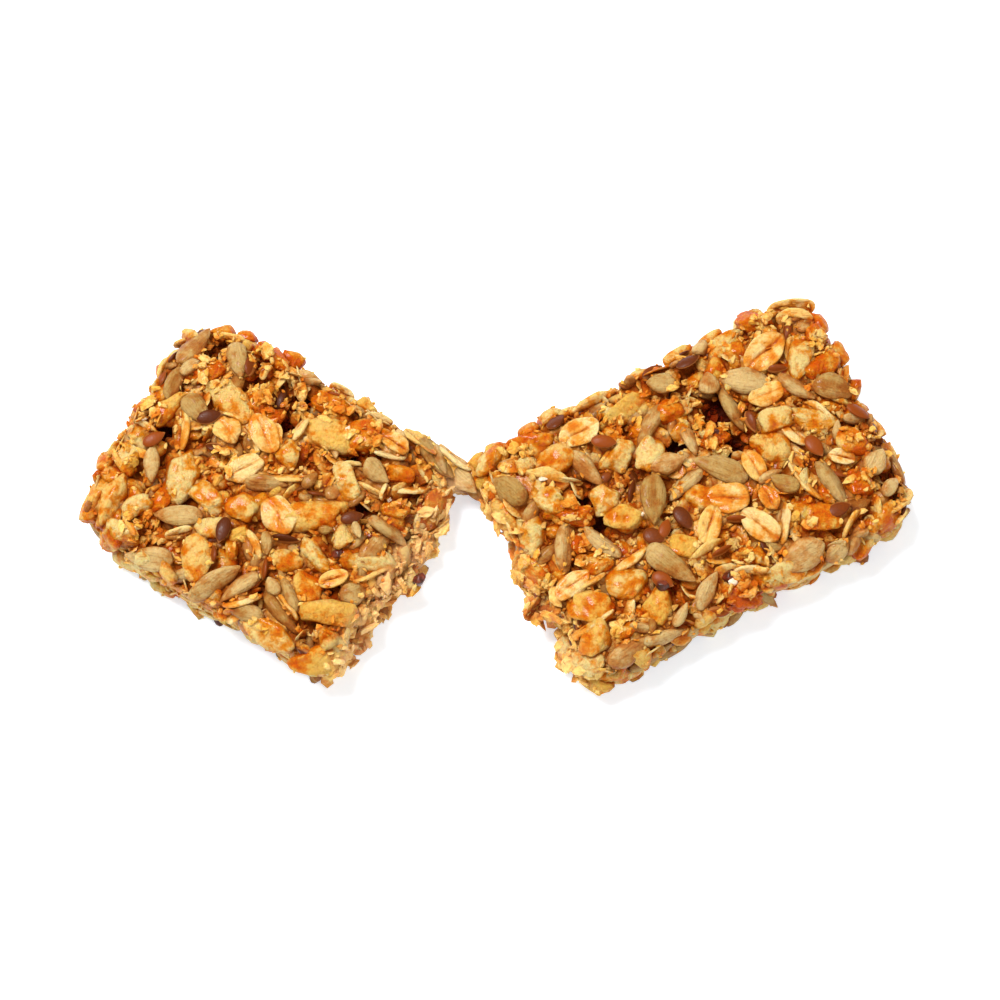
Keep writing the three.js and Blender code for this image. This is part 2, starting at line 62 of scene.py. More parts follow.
leftHalf = {
    "outline": [
        [-9, 7.8], [-17, 12.4], [-25, 17.4], [-33, 21.6], [-40, 26.2], [-46, 28.8],
        [-51.5, 28.2], [-55.2, 25], [-58.6, 17.6], [-63, 12], [-66.6, 4.8], [-68.9, -0.5],
        [-67.8, -5.4], [-63, -10.4], [-54, -16.4], [-44.5, -21.7], [-37, -26], [-29.8, -30.4],
        [-24.6, -28.6], [-20.8, -23.6], [-17, -18.2], [-12.6, -12.4], [-9.6, -7.6], [-7, -1.5],
    ],
    "tear": [[-8, 1], [-25, -29]],
    "drawnIn": 1.4,
    "paleAndLit": 1,
}
rightHalf = {
    "outline": [
        [-2.8, 6.4], [3.4, 10.4], [10, 14.8], [19.8, 19.4], [28, 23], [35.4, 27.6], [41.6, 31],
        [47.4, 33], [52.6, 32], [55.8, 27], [59.6, 19.6], [64, 11.8], [68.3, 3.6], [69, -1.4],
        [66.4, -5.4], [59, -9.8], [50, -14.4], [40, -19.6], [30, -25.4], [21, -30.6],
        [15.4, -32.4], [12, -28.6], [10.4, -23], [7.2, -18.6], [4.2, -13.6], [2.4, -8],
        [0, -4.4], [-2.8, -0.6],
    ],
    "tear": [[-3, -2], [14, -32]],
    "drawnIn": 0.2,
    "paleAndLit": 0.3,
}
halves = [leftHalf, rightHalf]

# Each kind of piece: its width as a share of its length, its thickness as a base and a share of
# its width, and how proud of the syrup it lies
kinds = {
    "kernel": {"widthShare": 0.42, "thickBase": 0.8, "thickShare": 0.4, "proud": 0.6},
    "seed": {"widthShare": 0.48, "thickBase": 0.5, "thickShare": 0.2, "proud": 0.35},
    "crisp": {"widthShare": 0.5, "thickBase": 1.4, "thickShare": 0.5, "proud": 0.5},
    "oat": {"widthShare": 0.55, "thickBase": 1.5, "thickShare": 0.05, "proud": 0.45},
}
largerBy = {"crisp": 1.2, "oat": 1.06}  # what the syrup and the neighbours hide of each

# The pieces that show on top: x, y, turn in degrees, length, width as seen, how glazed
showing = {
    "kernel": [
        [-50.2, 13.9, -50, 6, 4, 0.1], [-57.3, 4, -90, 6, 2.7, 0.2],
        [-52.7, -4.7, 180, 8.2, 3.8, 0.1], [-50.8, 24.8, 58, 8.5, 3.8, 0.5],
        [-51.2, 21.3, 40, 4.5, 2.3, 0.1], [-54, 18.7, 68, 7, 2.7, 0.3],
        [-43.5, 22.5, -80, 7, 3.5, 0.1], [-31.2, 19.3, -20, 6, 2.2, 0.3],
        [-38.5, 1, -5, 8, 2.5, 0.3], [-31, 1.2, 45, 3.5, 2, 0.4], [-38, -9.5, -85, 4, 2, 0.2],
        [-46.5, -15.9, 33, 10, 4, 0.1], [-42.5, -16.6, 217, 8, 2.8, 0.2],
        [-41.5, -21.2, 165, 7, 3.2, 0.1], [-34.2, -17.5, 114, 8.8, 2.2, 0.1],
        [-35.5, -21.3, -52, 9.8, 2.4, 0.5], [-10.4, 6.3, -36, 8.8, 4, 0, 8.4],
        [-20.2, 2.7, -50, 5.5, 3.6, 0.1], [-5.6, 3, -42, 6.4, 3.8, 0, 6.6],
        [-17.8, -7, -32, 8.5, 3, 0.2], [-23.7, -18, 20, 5, 4, 0.1], [-57.5, -12, 180, 8.7, 4.4, 0.1],
        [40.8, 19.1, 175, 9.8, 4.8, 0], [49.8, 17.8, -35, 7.3, 3, 0.1],
        [39, 14, -62, 8.4, 2.4, 0.1], [35.2, 18.2, 90, 4, 3.6, 0.2],
        [25, 11.2, 242, 8.6, 2.9, 0.3], [14.6, 3.5, -50, 7.8, 3.2, 0.3],
        [1.9, -0.1, 145, 7, 4.6, 0.1], [28.2, 4.5, 15, 6.4, 3.6, 0.4],
        [31, 1.2, 225, 8, 3, 0], [36.9, 3.8, 157, 10, 4.4, 0.1], [25.6, -1.9, -90, 8.8, 4.4, 0.2],
        [47.3, 0.7, 160, 5.2, 3.2, 0.1], [55.7, 0.8, -60, 10, 4, 0.1], [45, 2.2, 30, 4.5, 1.4, 0.2],
        [62.6, 4.8, 60, 5.2, 3.8, 0.3], [56.3, 10.2, 90, 4, 1.8, 0.1],
        [56, 18, -10, 7, 4.8, 0.4], [10.9, -10.3, -93, 9.6, 3.2, 0.3],
        [16.8, -9, 140, 8.4, 2.8, 0.1], [28.3, -13.2, -38, 10, 4.4, 0.1],
        [34.3, -17.2, 65, 7.4, 3, 0.1], [50, -11.6, 215, 8.4, 5.4, 0.2],
        [56.2, -10.6, 60, 5.8, 3.4, 0.2], [27.1, -25.4, 15, 8, 3, 0.1],
        [23.7, -23.7, -10, 4.5, 1.8, 0.3], [30, -21.6, 65, 4.5, 1.8, 0.1],
        [58.8, -8.6, 80, 6, 1.9, 0.2], [64.8, 0.2, 50, 4, 2.5, 0.3],
        [27.2, 18.3, 170, 5, 3.6, 0.3], [34, 24.8, 80, 4, 2.6, 0.1],
        [21.6, -27.9, 35, 8.6, 4, 0.6],
    ],
    "seed": [
        [-47.9, 12.3, 15, 4.4, 2.4, 0], [-57, 8.5, 30, 4.2, 2.2, 0], [-56.2, 19.3, 60, 3, 1.8, 0],
        [-41.3, 21.8, 80, 4.6, 2.2, 0], [-46.3, 7, -15, 4.6, 2, 0.2],
        [-45.3, -7.3, -105, 4.7, 2.4, 0], [-35, -8.6, -8, 5, 1.3, 0], [-24, -5.2, 15, 4, 2.2, 0],
        [9.7, 11.8, 60, 4, 2.8, 0.1], [17.6, 8, -5, 4.4, 2.3, 0], [31.8, 22.2, 30, 4.5, 2.3, 0.2],
        [25.9, 20.6, 50, 4.4, 1.4, 0], [46.7, 21, 5, 3.5, 1.4, 0], [60, 13.4, -20, 4.5, 2.4, 0],
        [52.5, 7.3, -55, 4.4, 2.7, 0], [56.2, -3.7, 25, 4.5, 2.4, 0],
        [30.6, -5.2, -55, 4.8, 2.7, 0], [25.7, -8.3, -20, 3.9, 2.9, 0],
        [27.5, -6.9, 70, 3.5, 2, 0], [22.2, -0.3, 78, 4.6, 1.6, 0], [44.2, -10.3, -60, 3.8, 1.6, 0],
        [36.3, -21.4, -15, 4, 1.6, 0.2], [67.2, -3, 75, 5, 1.2, 0], [42, 11.6, -70, 4, 1.8, 0],
    ],
    "crisp": [
        [-54.5, 14.5, 45, 7, 3.5, 0.3], [-53, 2.7, 70, 10.2, 5.8, 0.3], [-61.2, 5.5, 60, 5, 4, 0.5],
        [-64, -2, 60, 9, 4, 0.3], [-66.6, -2, 60, 7, 2.5, 0.3], [-59.7, -2.8, 45, 5, 3.5, 0.4],
        [-47.7, -1.8, -50, 7, 4, 0.3], [-47.5, -6.5, 20, 5, 3.5, 0.1],
        [-44.2, 15.3, -55, 8, 5, 0.2], [-27.5, 15, -15, 7, 4, 0.8], [-28, 9.8, -28, 10, 5, 0.1],
        [-34.7, 6, -60, 4.5, 3.5, 0.3], [-29.5, -3.8, 5, 11, 5.5, 0.2],
        [-42, -3, -15, 5.5, 4.5, 0.5], [-49.3, -11.5, 90, 8, 5, 0.2], [-35, -12, 0, 6, 4, 0.3],
        [-29.8, -11.5, -45, 6.5, 3, 0.3], [-31.3, -16.8, 90, 6, 4.5, 0.5],
        [-27.4, -21.2, 4, 8.8, 4.2, 0, 10.8], [-37.2, -24.2, -25, 8.5, 4.8, 0.4],
        [-29.3, -28.8, 0, 9, 5, 0.3], [-27.3, -26, -30, 5, 3, 0], [-22.2, 8.8, 80, 6.5, 5.5, 0.6],
        [-16.3, 2.8, -5, 4.5, 2.8, 0.5], [-24.8, 1.3, 110, 6.5, 4.2, 0.3],
        [-17, -3.7, -10, 4.5, 2.3, 0.7], [-11.2, -3.8, 65, 9.4, 6.4, 0.8],
        [-25.8, -8, 120, 4, 3.4, 0.2], [-21.5, -12, -15, 8.5, 3.5, 0.3],
        [-48, 20.3, 20, 5.6, 4.6, 0.8], [-36.7, 22.3, -30, 5, 4, 0.7],
        [-39.5, 24.5, 20, 4.4, 3.6, 0.7], [-39.8, 15.5, 30, 4.6, 3.8, 0.9],
        [-62, -7.4, -30, 6, 4.6, 0.4],
        [21, 14, 37, 10.5, 4.5, 0.1], [5.5, 7.8, 12, 8.6, 3.2, 0.6], [-1.2, 5, 28, 6, 3, 0.4],
        [9.5, 5, 45, 6, 4.5, 0.4], [19.8, 6.4, 60, 6.5, 4.5, 0.2], [25.3, 6.3, 60, 6, 4, 0.2],
        [17.6, -1.6, 30, 4.8, 4.4, 0.4], [20.8, -5.2, -10, 5.8, 4.4, 0.2],
        [8.8, -1.9, -30, 5, 4, 0.4], [5.8, -6.5, -80, 9, 4, 0.2], [1.4, -5, -50, 7, 4, 0.2],
        [6.1, -14, 40, 8.6, 6.4, 0.6], [33.7, -1.4, 0, 5.4, 5, 0.5], [30.5, -9.8, 0, 5, 4.4, 0.1],
        [21.7, -16.2, -10, 7.4, 5.2, 0.4], [26.1, -20, 45, 6, 5, 0.2],
        [45.2, 7.4, 0, 6, 5.4, 0.3], [45.7, 12.5, 20, 6.5, 4.4, 0.2],
        [52.3, 12.2, -30, 7.8, 5, 0.4], [50.3, 22.6, 70, 6.5, 4, 0.3],
        [53.4, 27.3, 60, 5.6, 4.6, 0.7], [54, 22, 50, 5.8, 4.6, 0.6], [37.3, 25.3, 38, 9, 4.4, 0.1],
        [58.9, 8, 0, 5.6, 4.4, 0.6], [60.4, 0.8, 0, 5, 4.4, 0.8], [61.1, -7.2, 75, 8, 3.8, 0.6],
        [39.8, -18.2, 0, 7.8, 6, 0.9], [47, -14.6, 20, 8, 4, 0.2], [14.6, -19.4, -20, 8, 6, 0.4],
        [16.4, -25.4, 60, 6, 4.6, 0.3], [14.8, -28.8, 0, 6.5, 5, 0.1],
        [53.6, -5, 0, 6, 4, 0.6], [28.8, 13.6, 20, 4.6, 4, 0.6], [12.6, -4.4, 0, 6.6, 4, 0.8],
        [43, 29.3, 0, 5.6, 4.8, 0.7], [36, 9, 0, 5, 4, 1], [16, -12.6, 20, 5, 4, 0.6],
        [50, -3.6, 0, 5, 4, 0.7], [42, -11.4, 20, 5, 4, 0.9], [64.4, -4.6, 60, 5, 4, 0.6],
    ],
    "oat": [
        [-52.7, 10.5, 90, 6.8, 3.3, 0.4], [-58.7, 10.8, -28, 4.5, 1.8, 0.2],
        [-61, -7, 20, 5, 1.5, 0.3], [-52.5, -7.5, 15, 4.5, 1.5, 0.1],
        [-55.8, 21.5, 60, 4.5, 1.5, 0.3], [-45, 10.3, -50, 5, 4, 0.1],
        [-44.5, 26.5, -10, 5, 2, 0.2], [-33, 10.5, 60, 5, 2.2, 0.1],
        [-38.8, 9.5, -65, 7, 4.5, 0.4], [-41, 8.5, -65, 5, 2.5, 0.3], [-42, 3.5, 30, 6.4, 4, 0.1],
        [-34.5, 2.5, 0, 8.5, 3, 0.3], [-36.2, -4.6, -62, 7, 5, 0.3],
        [-40.7, -9.5, -60, 6, 3, 0.4], [-42, -19, 14, 6.5, 1.8, 0.5],
        [-34.6, -20.3, -52, 5, 1.5, 0.6], [-27, -15.5, 22, 5, 2.8, 0.2],
        [-18, 6.3, -12, 5.5, 2.5, 0.1], [-17, 7.8, -30, 5, 3, 0.4], [-14, 9, -45, 4, 2.5, 0.1],
        [-7.2, 6.5, -39, 6.9, 1.6, -0.2, 7.6], [-14.7, 0.2, 0, 6, 2.2, 0.3],
        [-21.3, -0.3, -25, 4.5, 1.5, 0.2], [-20.5, -14.8, 20, 7, 2.5, 0.2],
        [-26.3, 17.3, -28, 4.5, 1.6, 0.1],
        [49.6, 32.2, 0, 7.5, 2.8, 0.2], [49.8, 30.2, 0, 6, 1.6, 0.2], [44.5, 24, 45, 8, 5.2, 0.4],
        [44.7, 16.5, 25, 6, 3.8, 0.3], [51.1, 2, -52, 8.5, 3.7, 0.3],
        [49.1, 10.2, -42, 6.5, 3.4, 0.3], [53.5, 13.5, -40, 6, 1.5, 0.3],
        [8, 1.7, -10, 7.5, 3.6, 0.1], [34.9, -6.2, 75, 6.7, 3.8, 0.1],
        [34.4, -10.6, 35, 6.5, 2.6, 0.2], [43.2, -6.4, -35, 7, 4.6, 0.2],
        [46.6, -5.7, 85, 7.4, 3.4, 0.1], [44.7, -1.7, -60, 4.4, 3, 0.5], [38, -1.6, 0, 7, 5, 0.6],
        [42.5, -14.7, -12, 7.8, 3.6, 0.3], [50.8, -13.2, 15, 6.4, 3.4, 0.3],
        [58.2, -6, 65, 5.4, 1.6, 0.2], [66, -1.9, 32, 7.4, 1.8, 0.2],
        [12.2, -16.5, 35, 6.5, 3.6, 0.3], [15.2, -15.8, 30, 5.5, 1.6, 0.3],
        [21.7, -11.3, 38, 7.4, 3.6, 0.4], [15.9, 15.3, 30, 8, 1.6, 0.3],
        [5.9, -19.2, 44, 6.4, 2.6, 0.4, 6.6], [7.8, -19.9, 12, 6, 2.4, 0.5, 6.9],
        [15.2, -22.8, 30, 8, 2.6, 0.4], [42.4, 4, -60, 6, 3.4, 0.3],
        [57, 5.5, -10, 4.4, 2.6, 0.4], [2.6, -7, -75, 7, 2.6, 0.2],
    ],
}

# Smaller pieces in between, the same way
between = {
    "kernel": [
        [-37, -16.8, 120, 3.5, 2.5, 0.2], [-23.2, -7.3, -70, 3, 1.5, 0.1],
        [-28.3, -7.3, 0, 2.5, 1.5, 0.3], [-16, 9.2, -60, 3, 1, 0.2],
        [-7.6, 3, -30, 6.4, 3, 0.2, 5.4], [-3.6, 1.6, -62, 5, 3, 0.4, 5.2],
    ],
    "seed": [
        [-49.5, 27.6, 30, 2.5, 1.5, 0], [-54.3, 23.2, 60, 3, 1.2, 0], [-46.7, -11.2, 90, 3, 1.2, 0],
        [-38.3, -13.5, 85, 4, 0.8, 0], [-12.4, 9.6, -42, 3.4, 1.2, 0, 8], [-10.6, 8.4, -30, 3.2, 1.2, 0, 7.2],
        [-27, 16.3, -12, 3.5, 1.2, 0], [-30, -1, -10, 3, 0.8, 0], [31, 23.6, 35, 3, 1, 0],
        [39.6, -5.2, 0, 4, 1, 0], [36.9, -10.6, 30, 4, 0.9, 0], [27, -16, -30, 4, 2.6, 0],
        [12.4, -26.4, 60, 3, 2, 0],
    ],
    "oat": [
        [-44, 12.2, -25, 4, 1, 0.2], [-38.8, 20.5, 60, 3, 1.5, 0.3], [-32.7, 14.2, 0, 2, 1.6, 0.2],
        [-36.8, 9.8, -80, 3.5, 2, 0.4], [-24.3, 4.3, 0, 3.5, 1, 0.3], [-18.8, -0.5, 70, 3, 1.2, 0.2],
        [-20, 12.3, -5, 4.5, 1, 0.1],
    ],
    "crisp": [
        [-3.6, 5.6, 40, 4.2, 3.2, 0.1, 6.4], [-0.8, 7.4, 30, 4.6, 3.4, 0.1, 7.6],
        [-2.4, 3.2, -60, 4, 3, 0.2, 7.4], [11.6, -26.4, 70, 5.4, 3.6, 0.1, 4.5],
        [15.9, -30.4, -10, 6.4, 4, 0.1, 4.4],
        [-46.5, 27.6, -10, 4, 2.6, 0.5], [-42.6, 26.9, -28, 3.7, 2.6, 0.7],
        [-34.7, 22.8, -28, 3.9, 2.6, 0.5], [-22.2, 14.8, -28, 3.9, 2.4, 0.3],
        [35.8, 26.2, 35, 5.2, 2.3, 0.3], [30.6, 23.8, 30, 5.6, 2.3, 0.2], [24, 20, 30, 3.9, 2.3, 0.4],
        [8.6, 12.6, 32, 4.4, 2.6, 0.5], [5.3, 10.2, 28, 3.7, 2.3, 0.5], [42.8, 30, 30, 3.7, 2.6, 0.6],
        [53.6, 29.4, -60, 4.4, 3, 0.5], [57, 23.6, -62, 4.2, 2.8, 0.4],
    ],
}

# Deep pockets between the pieces: x, y, radius
pockets = [
    [-56, 10, 1.8], [-32, 15.4, 1.8], [-40, 18.7, 1.2], [-36, 11.8, 1.6], [-43, -13.6, 1.4],
    [-39.5, -17.2, 1.2], [-24, 5.6, 1.6], [-23.5, -3, 1.6], [-51, -1, 1.6],
    [36.8, 14, 2.4], [21.7, 4.2, 1.8], [39.3, 7.4, 1.8], [14, -3, 1.8], [17.6, -6.8, 2],
    [27.4, -16.4, 2], [29, 7.6, 1.6], [12.4, -26.4, 1.8], [8, -5.6, 1.6], [55.4, -6.6, 1.4],
]


def chance(x, y, salt):  # even, repeatable chance drawn from a place; the salt tells draws apart
    drawn = np.sin(x * 12.9898 + y * 78.233 + salt * 37.719) * 43758.5453
    return drawn - np.floor(drawn)


def uneven(spread, x, y, salt):  # such a draw, either side of nought
    return spread * (chance(x, y, salt) - 0.5)


def seedOf(x, y):
    return int(chance(x, y, 31) * 1e6)


def unit(vector):
    return vector / np.linalg.norm(vector)


def smoothOutline(corners):  # an even ring of points on a centripetal curve, anticlockwise
    corners = np.array(corners, float)
    count = len(corners)

    def pointAt(t):
        place = t * count
        first = int(math.floor(place)) if place < count else count
        weight = place - first
        a, b, c, d = (corners[(first + k) % count] for k in (-1, 0, 1, 2))
        ab, bc, cd = (np.sum((q - p) ** 2) ** 0.25 for p, q in ((a, b), (b, c), (c, d)))
        leaving = ((b - a) / ab - (c - a) / (ab + bc) + (c - b) / bc) * bc
        arriving = ((c - b) / bc - (d - b) / (bc + cd) + (d - c) / cd) * bc
        squared = -3 * b + 3 * c - 2 * leaving - arriving
        cubed = 2 * b - 2 * c + leaving + arriving
        return b + leaving * weight + squared * weight ** 2 + cubed * weight ** 3

    shares = np.linspace(0, 1, 201)
    drawn = np.array([pointAt(t) for t in shares])
    walked = np.r_[0, np.cumsum(np.linalg.norm(np.diff(drawn, axis=0), axis=1))]
    even = np.interp(np.linspace(0, walked[-1], barForm["rimSteps"] + 1), walked, shares)[:-1]
    rim = np.array([pointAt(t) for t in even])
    x, y = rim.T
    area = np.sum(x * np.roll(y, -1) - np.roll(x, -1) * y)
    return rim if area > 0 else rim[::-1]


def segmentDistance(x, y, a, b):
    run = np.array(b, float) - a
    share = np.clip(((x - a[0]) * run[0] + (y - a[1]) * run[1]) / (run @ run), 0, 1)
    return np.hypot(x - a[0] - share * run[0], y - a[1] - share * run[1])


def rimSides(half):  # where each side of the rim starts and ends, and the way out from it
    rim = smoothOutline(half["outline"])
    sides = []
    for start, end in zip(rim, np.roll(rim, -1, axis=0)):
        along = unit(end - start)
        sides.append((start, end, np.array([along[1], -along[0], 0])))
    return sides


def depthInside(half, x, y):  # distance in from the rim, negative outside it
    nearest = np.full(np.shape(x), np.inf)
    inside = np.zeros(np.shape(x), bool)
    for a, b, _ in half["sides"]:
        nearest = np.minimum(nearest, segmentDistance(x, y, a, b))
        crosses = (a[1] > y) != (b[1] > y)
        if a[1] != b[1]:
            inside ^= crosses & (x < a[0] + (y - a[1]) / (b[1] - a[1]) * (b[0] - a[0]))
    return np.where(inside, nearest, -nearest)


def fall(distance, edge):
    return edge["drop"] * np.clip(1 - distance / edge["reach"], 0, 1) ** 2


def neckHeight(x, y):
    turn = math.radians(neck["turn"])
    along = (x - neck["x"]) * math.cos(turn) + (y - neck["y"]) * math.sin(turn)
    across = (y - neck["y"]) * math.cos(turn) - (x - neck["x"]) * math.sin(turn)
    reach = np.hypot(2 * along / neck["length"], 2 * across / neck["width"])
    rise = (neck["top"] - neck["middle"]) * np.sqrt(np.clip(1 - reach ** 2, 0, 1))
    return np.where(reach < 1, neck["middle"] + rise, 0)


for half in halves:
    half["sides"] = rimSides(half)
step = barForm["gridStep"]
gridX = np.arange(barForm["gridX"][0], barForm["gridX"][1] + step, step)
gridY = np.arange(barForm["gridY"][0], barForm["gridY"][1] + step, step)
meshX, meshY = np.meshgrid(gridX, gridY, indexing="ij")
depths = [depthInside(half, meshX, meshY) for half in halves]
tears = [segmentDistance(meshX, meshY, *half["tear"]) for half in halves]
swell = barForm["swell"]
wave = swell["height"] * np.sin(meshX / swell["acrossX"]) * np.cos(meshY / swell["acrossY"])
onLeft = depths[0] > depths[1]
paleAndLitTo, paleAndLitPast = barForm["tornEdge"]["paleAndLit"]
paleAndLitShares = [half["paleAndLit"] * np.clip((paleAndLitPast - tear) / (paleAndLitPast - paleAndLitTo), 0, 1)
             for half, tear in zip(halves, tears)]
fields = {
    "inside": np.maximum(*depths),
    "fromTear": np.where(onLeft, *tears),
    # How much paler a torn face is painted: partly its fresh crumb, partly painted light
    "torn": np.where(onLeft, *paleAndLitShares),
}
bodyHeight = (barForm["thickness"] + wave
              - fall(np.maximum(fields["inside"], 0), barForm["pressedEdge"])
              - fall(fields["fromTear"], barForm["tornEdge"]))
fields["top"] = np.maximum(bodyHeight, neckHeight(meshX, meshY))


def readField(name, x, y):  # a field of the grid between its points
    u = np.clip((np.asarray(x, float) - gridX[0]) / step, 0, len(gridX) - 1.001)
    v = np.clip((np.asarray(y, float) - gridY[0]) / step, 0, len(gridY) - 1.001)
    i, j = u.astype(int), v.astype(int)
    s, t = u - i, v - j
    field = fields[name]
    low = field[i, j] * (1 - s) + field[i + 1, j] * s
    high = field[i, j + 1] * (1 - s) + field[i + 1, j + 1] * s
    return low * (1 - t) + high * t


def topNormal(x, y):
    slopeX = (readField("top", x + 1, y) - readField("top", x - 1, y)) / 2
    slopeY = (readField("top", x, y + 1) - readField("top", x, y - 1)) / 2
    return unit(np.array([-slopeX, -slopeY, 1]))


# Where the pieces lie
lying = {
    "slant": 0.305,  # what lies lower sits this much further back for each millimetre
    "edgeSeen": 0.3,  # the share of its thickness that shows beside a piece's face
    "roll": 0.25, "lift": 0.5,  # how unevenly they lie
}
fillers = {  # what fills walls and gaps: the draw it is below, shortest, longer by up to, its width
    "crisp": (0.45, 5, 2.5, 0.72),
    "oat": (0.8, 6, 2, 0.66),
    "kernel": (1, 7.5, 2, 0.44),
}
wallRows = {
    "heights": [2.5, 6.6], "spacing": 8.4, "starts": 0.2, "staggered": 0.5,
    "sunk": 0.35, "inset": 0.3, "bob": 0.8, "nearTear": 3, "besideOther": -1.5, "behindNeck": 3,
    "pressed": {"tilt": 0.5, "climb": 0.9},
    "torn": {"tilt": 1.2, "climb": 1.6},
}
gapFill = {
    "spacing": 6.4, "jitter": 2, "clear": 2.6, "fromEdge": 1.4, "fromPocket": 2, "smaller": 0.9,
    "reachX": 70, "reachY": 34,
}


def thicknessOf(name, width):
    return kinds[name]["thickBase"] + kinds[name]["thickShare"] * width


def topPiece(name, row):  # a seventh number is the height of its middle
    x, y, turn, length, shown, glaze = row[:6]
    larger = largerBy.get(name, 1)
    length, shown = length * larger, shown * larger
    if len(row) < 7:
        y += lying["slant"] * max(0, barForm["thickness"] - readField("top", x, y))
    width = max(shown, kinds[name]["widthShare"] * length)
    thickness = thicknessOf(name, width)
    flatness = float(np.clip((shown - lying["edgeSeen"] * thickness) / width, 0.1, 1))
    side = -1 if chance(x, y, 1) < 0.5 else 1
    roll = side * math.acos(flatness if shown < width else 1) + uneven(lying["roll"], x, y, 2)
    lift = kinds[name]["proud"] + uneven(lying["lift"], x, y, 3)
    halfHeight = (width * abs(math.sin(roll)) + thickness * abs(math.cos(roll))) / 2
    heading = math.radians(turn)
    z = row[6] if len(row) > 6 else readField("top", x, y) + lift - halfHeight
    return {
        "kind": name, "length": length, "width": width, "thickness": thickness, "roll": roll,
        "centre": np.array([x, y, z]), "normal": topNormal(x, y), "glaze": glaze,
        "ahead": np.array([math.cos(heading), math.sin(heading), 0]),
    }


def drawnKind(x, y):
    drawn = chance(x, y, 4)
    name = next(name for name, (below, *_) in fillers.items() if drawn < below)
    _, shortest, longer, share = fillers[name]
    return name, shortest + longer * chance(x, y, 6), share


def wallPiece(half, x, y, height, outward, torn):
    name, length, share = drawnKind(x, y + height)
    width = share * length
    thickness = thicknessOf(name, width)
    face = wallRows["torn" if torn else "pressed"]
    tilt = uneven(face["tilt"], x, y, 7)
    facesUp = 0.5 if torn else 0.1 + tilt * 0.4
    inset = wallRows["sunk"] * thickness + wallRows["inset"] + half["drawnIn"] * torn
    centre = np.array([x, y, 0]) - outward * inset
    centre[2] = height + uneven(wallRows["bob"], x, y, 9)
    return {
        "kind": name, "length": length, "width": width, "thickness": thickness, "roll": tilt,
        "centre": centre, "normal": unit(outward + [0, 0, facesUp]),
        "ahead": np.array([-outward[1], outward[0], uneven(face["climb"], x, y, 8)]),
        "glaze": 0.05 + 0.4 * chance(x, y, 21),
    }


def wallPieces(half, other):  # rows of whole pieces on edge, one row only on a torn face
    pieces = []
    for row, height in enumerate(wallRows["heights"]):
        walked = wallRows["spacing"] * (wallRows["starts"] + wallRows["staggered"] * row)
        for start, end, outward in half["sides"]:
            stretch = np.linalg.norm(end - start)
            while walked < stretch:
                x, y = start + (end - start) * walked / stretch
                walked += wallRows["spacing"]
                besideOther = depthInside(other, x, y) > wallRows["besideOther"]
                covered = besideOther or neckHeight(x, y) > wallRows["behindNeck"]
                torn = segmentDistance(x, y, *half["tear"]) < wallRows["nearTear"]
                if not covered and not (torn and row == 1):
                    pieces.append(wallPiece(half, x, y, height, outward, torn))
            walked -= stretch
    return pieces


def nearPocket(x, y, margin):
    return any(math.hypot(px - x, py - y) < radius + margin for px, py, radius in pockets)


def gapPieces(laid):  # staggered rows of places, each filled where there is room
    pieces = []
    spacing, smaller = gapFill["spacing"], gapFill["smaller"]
    row, y = 0, -gapFill["reachY"]
    while y < gapFill["reachY"]:
        x = -gapFill["reachX"] + 0.5 * spacing * (row % 2)
        while x < gapFill["reachX"]:
            atX, atY = x + uneven(gapFill["jitter"], x, y, 10), y + uneven(gapFill["jitter"], x, y, 11)
            crowded = any(
                math.hypot(p["centre"][0] - atX, p["centre"][1] - atY)
                < 0.25 * (p["length"] + p["width"]) + gapFill["clear"] for p in laid)
            onBar = readField("inside", atX, atY) > gapFill["fromEdge"]
            if onBar and not crowded and not nearPocket(atX, atY, gapFill["fromPocket"]):
                name, length, share = drawnKind(atX, atY)
                turn, glaze = 360 * chance(atX, atY, 12), 0.2 + 0.6 * chance(atX, atY, 21)
                pieces.append(topPiece(name, [atX, atY, turn, smaller * length,
                                              smaller * share * length, glaze]))
            x += spacing
        row, y = row + 1, y + spacing * math.sin(math.pi / 3)
    return pieces


# The shape of one piece, about 1 in radius with its length along X
roundBalls = {  # segments round it and from pole to pole
    "kernelFine": (22, 15), "kernelPlain": (10, 7), "oatFine": (32, 14), "oatPlain": (12, 6),
    "chip": (8, 4),
}
evenBalls = {"crispFine": 4, "crispMiddle": 3, "crispPlain": 2, "crumb": 1}  # times subdivided
formCounts = {"plain": 9, "crumb": 14}


def ballShape(make, **sizes):
    bm = bmesh.new()
    make(bm, radius=1, **sizes)
    bmesh.ops.triangulate(bm, faces=bm.faces)
    bm.verts.index_update()
    points = np.array([v.co[:] for v in bm.verts])
    faces = np.array([[v.index for v in f.verts] for f in bm.faces])
    bm.free()
    return points, faces

balls = {name: ballShape(bmesh.ops.create_icosphere, subdivisions=times)
         for name, times in evenBalls.items()}
for name, (around, along) in roundBalls.items():
    poles = Matrix.Rotation(math.pi / 2, 4, "Y") if "kernel" in name else Matrix.Identity(4)
    balls[name] = ballShape(bmesh.ops.create_uvsphere, u_segments=around, v_segments=along,
                            matrix=poles)
balls["seedFine"], balls["seedPlain"] = balls["kernelFine"], balls["kernelPlain"]


def lumps(points, seed, size):  # smooth uneven waves of about -1 to 1
    draw = np.random.default_rng(seed)
    ways = draw.normal(size=(8, 3))
    ways *= (2 * math.pi / size * draw.uniform(0.6, 1.5, 8) / np.linalg.norm(ways, axis=1))[:, None]
    return np.sin(points @ ways.T + draw.uniform(0, 2 * math.pi, 8)).sum(axis=1) / 3.2


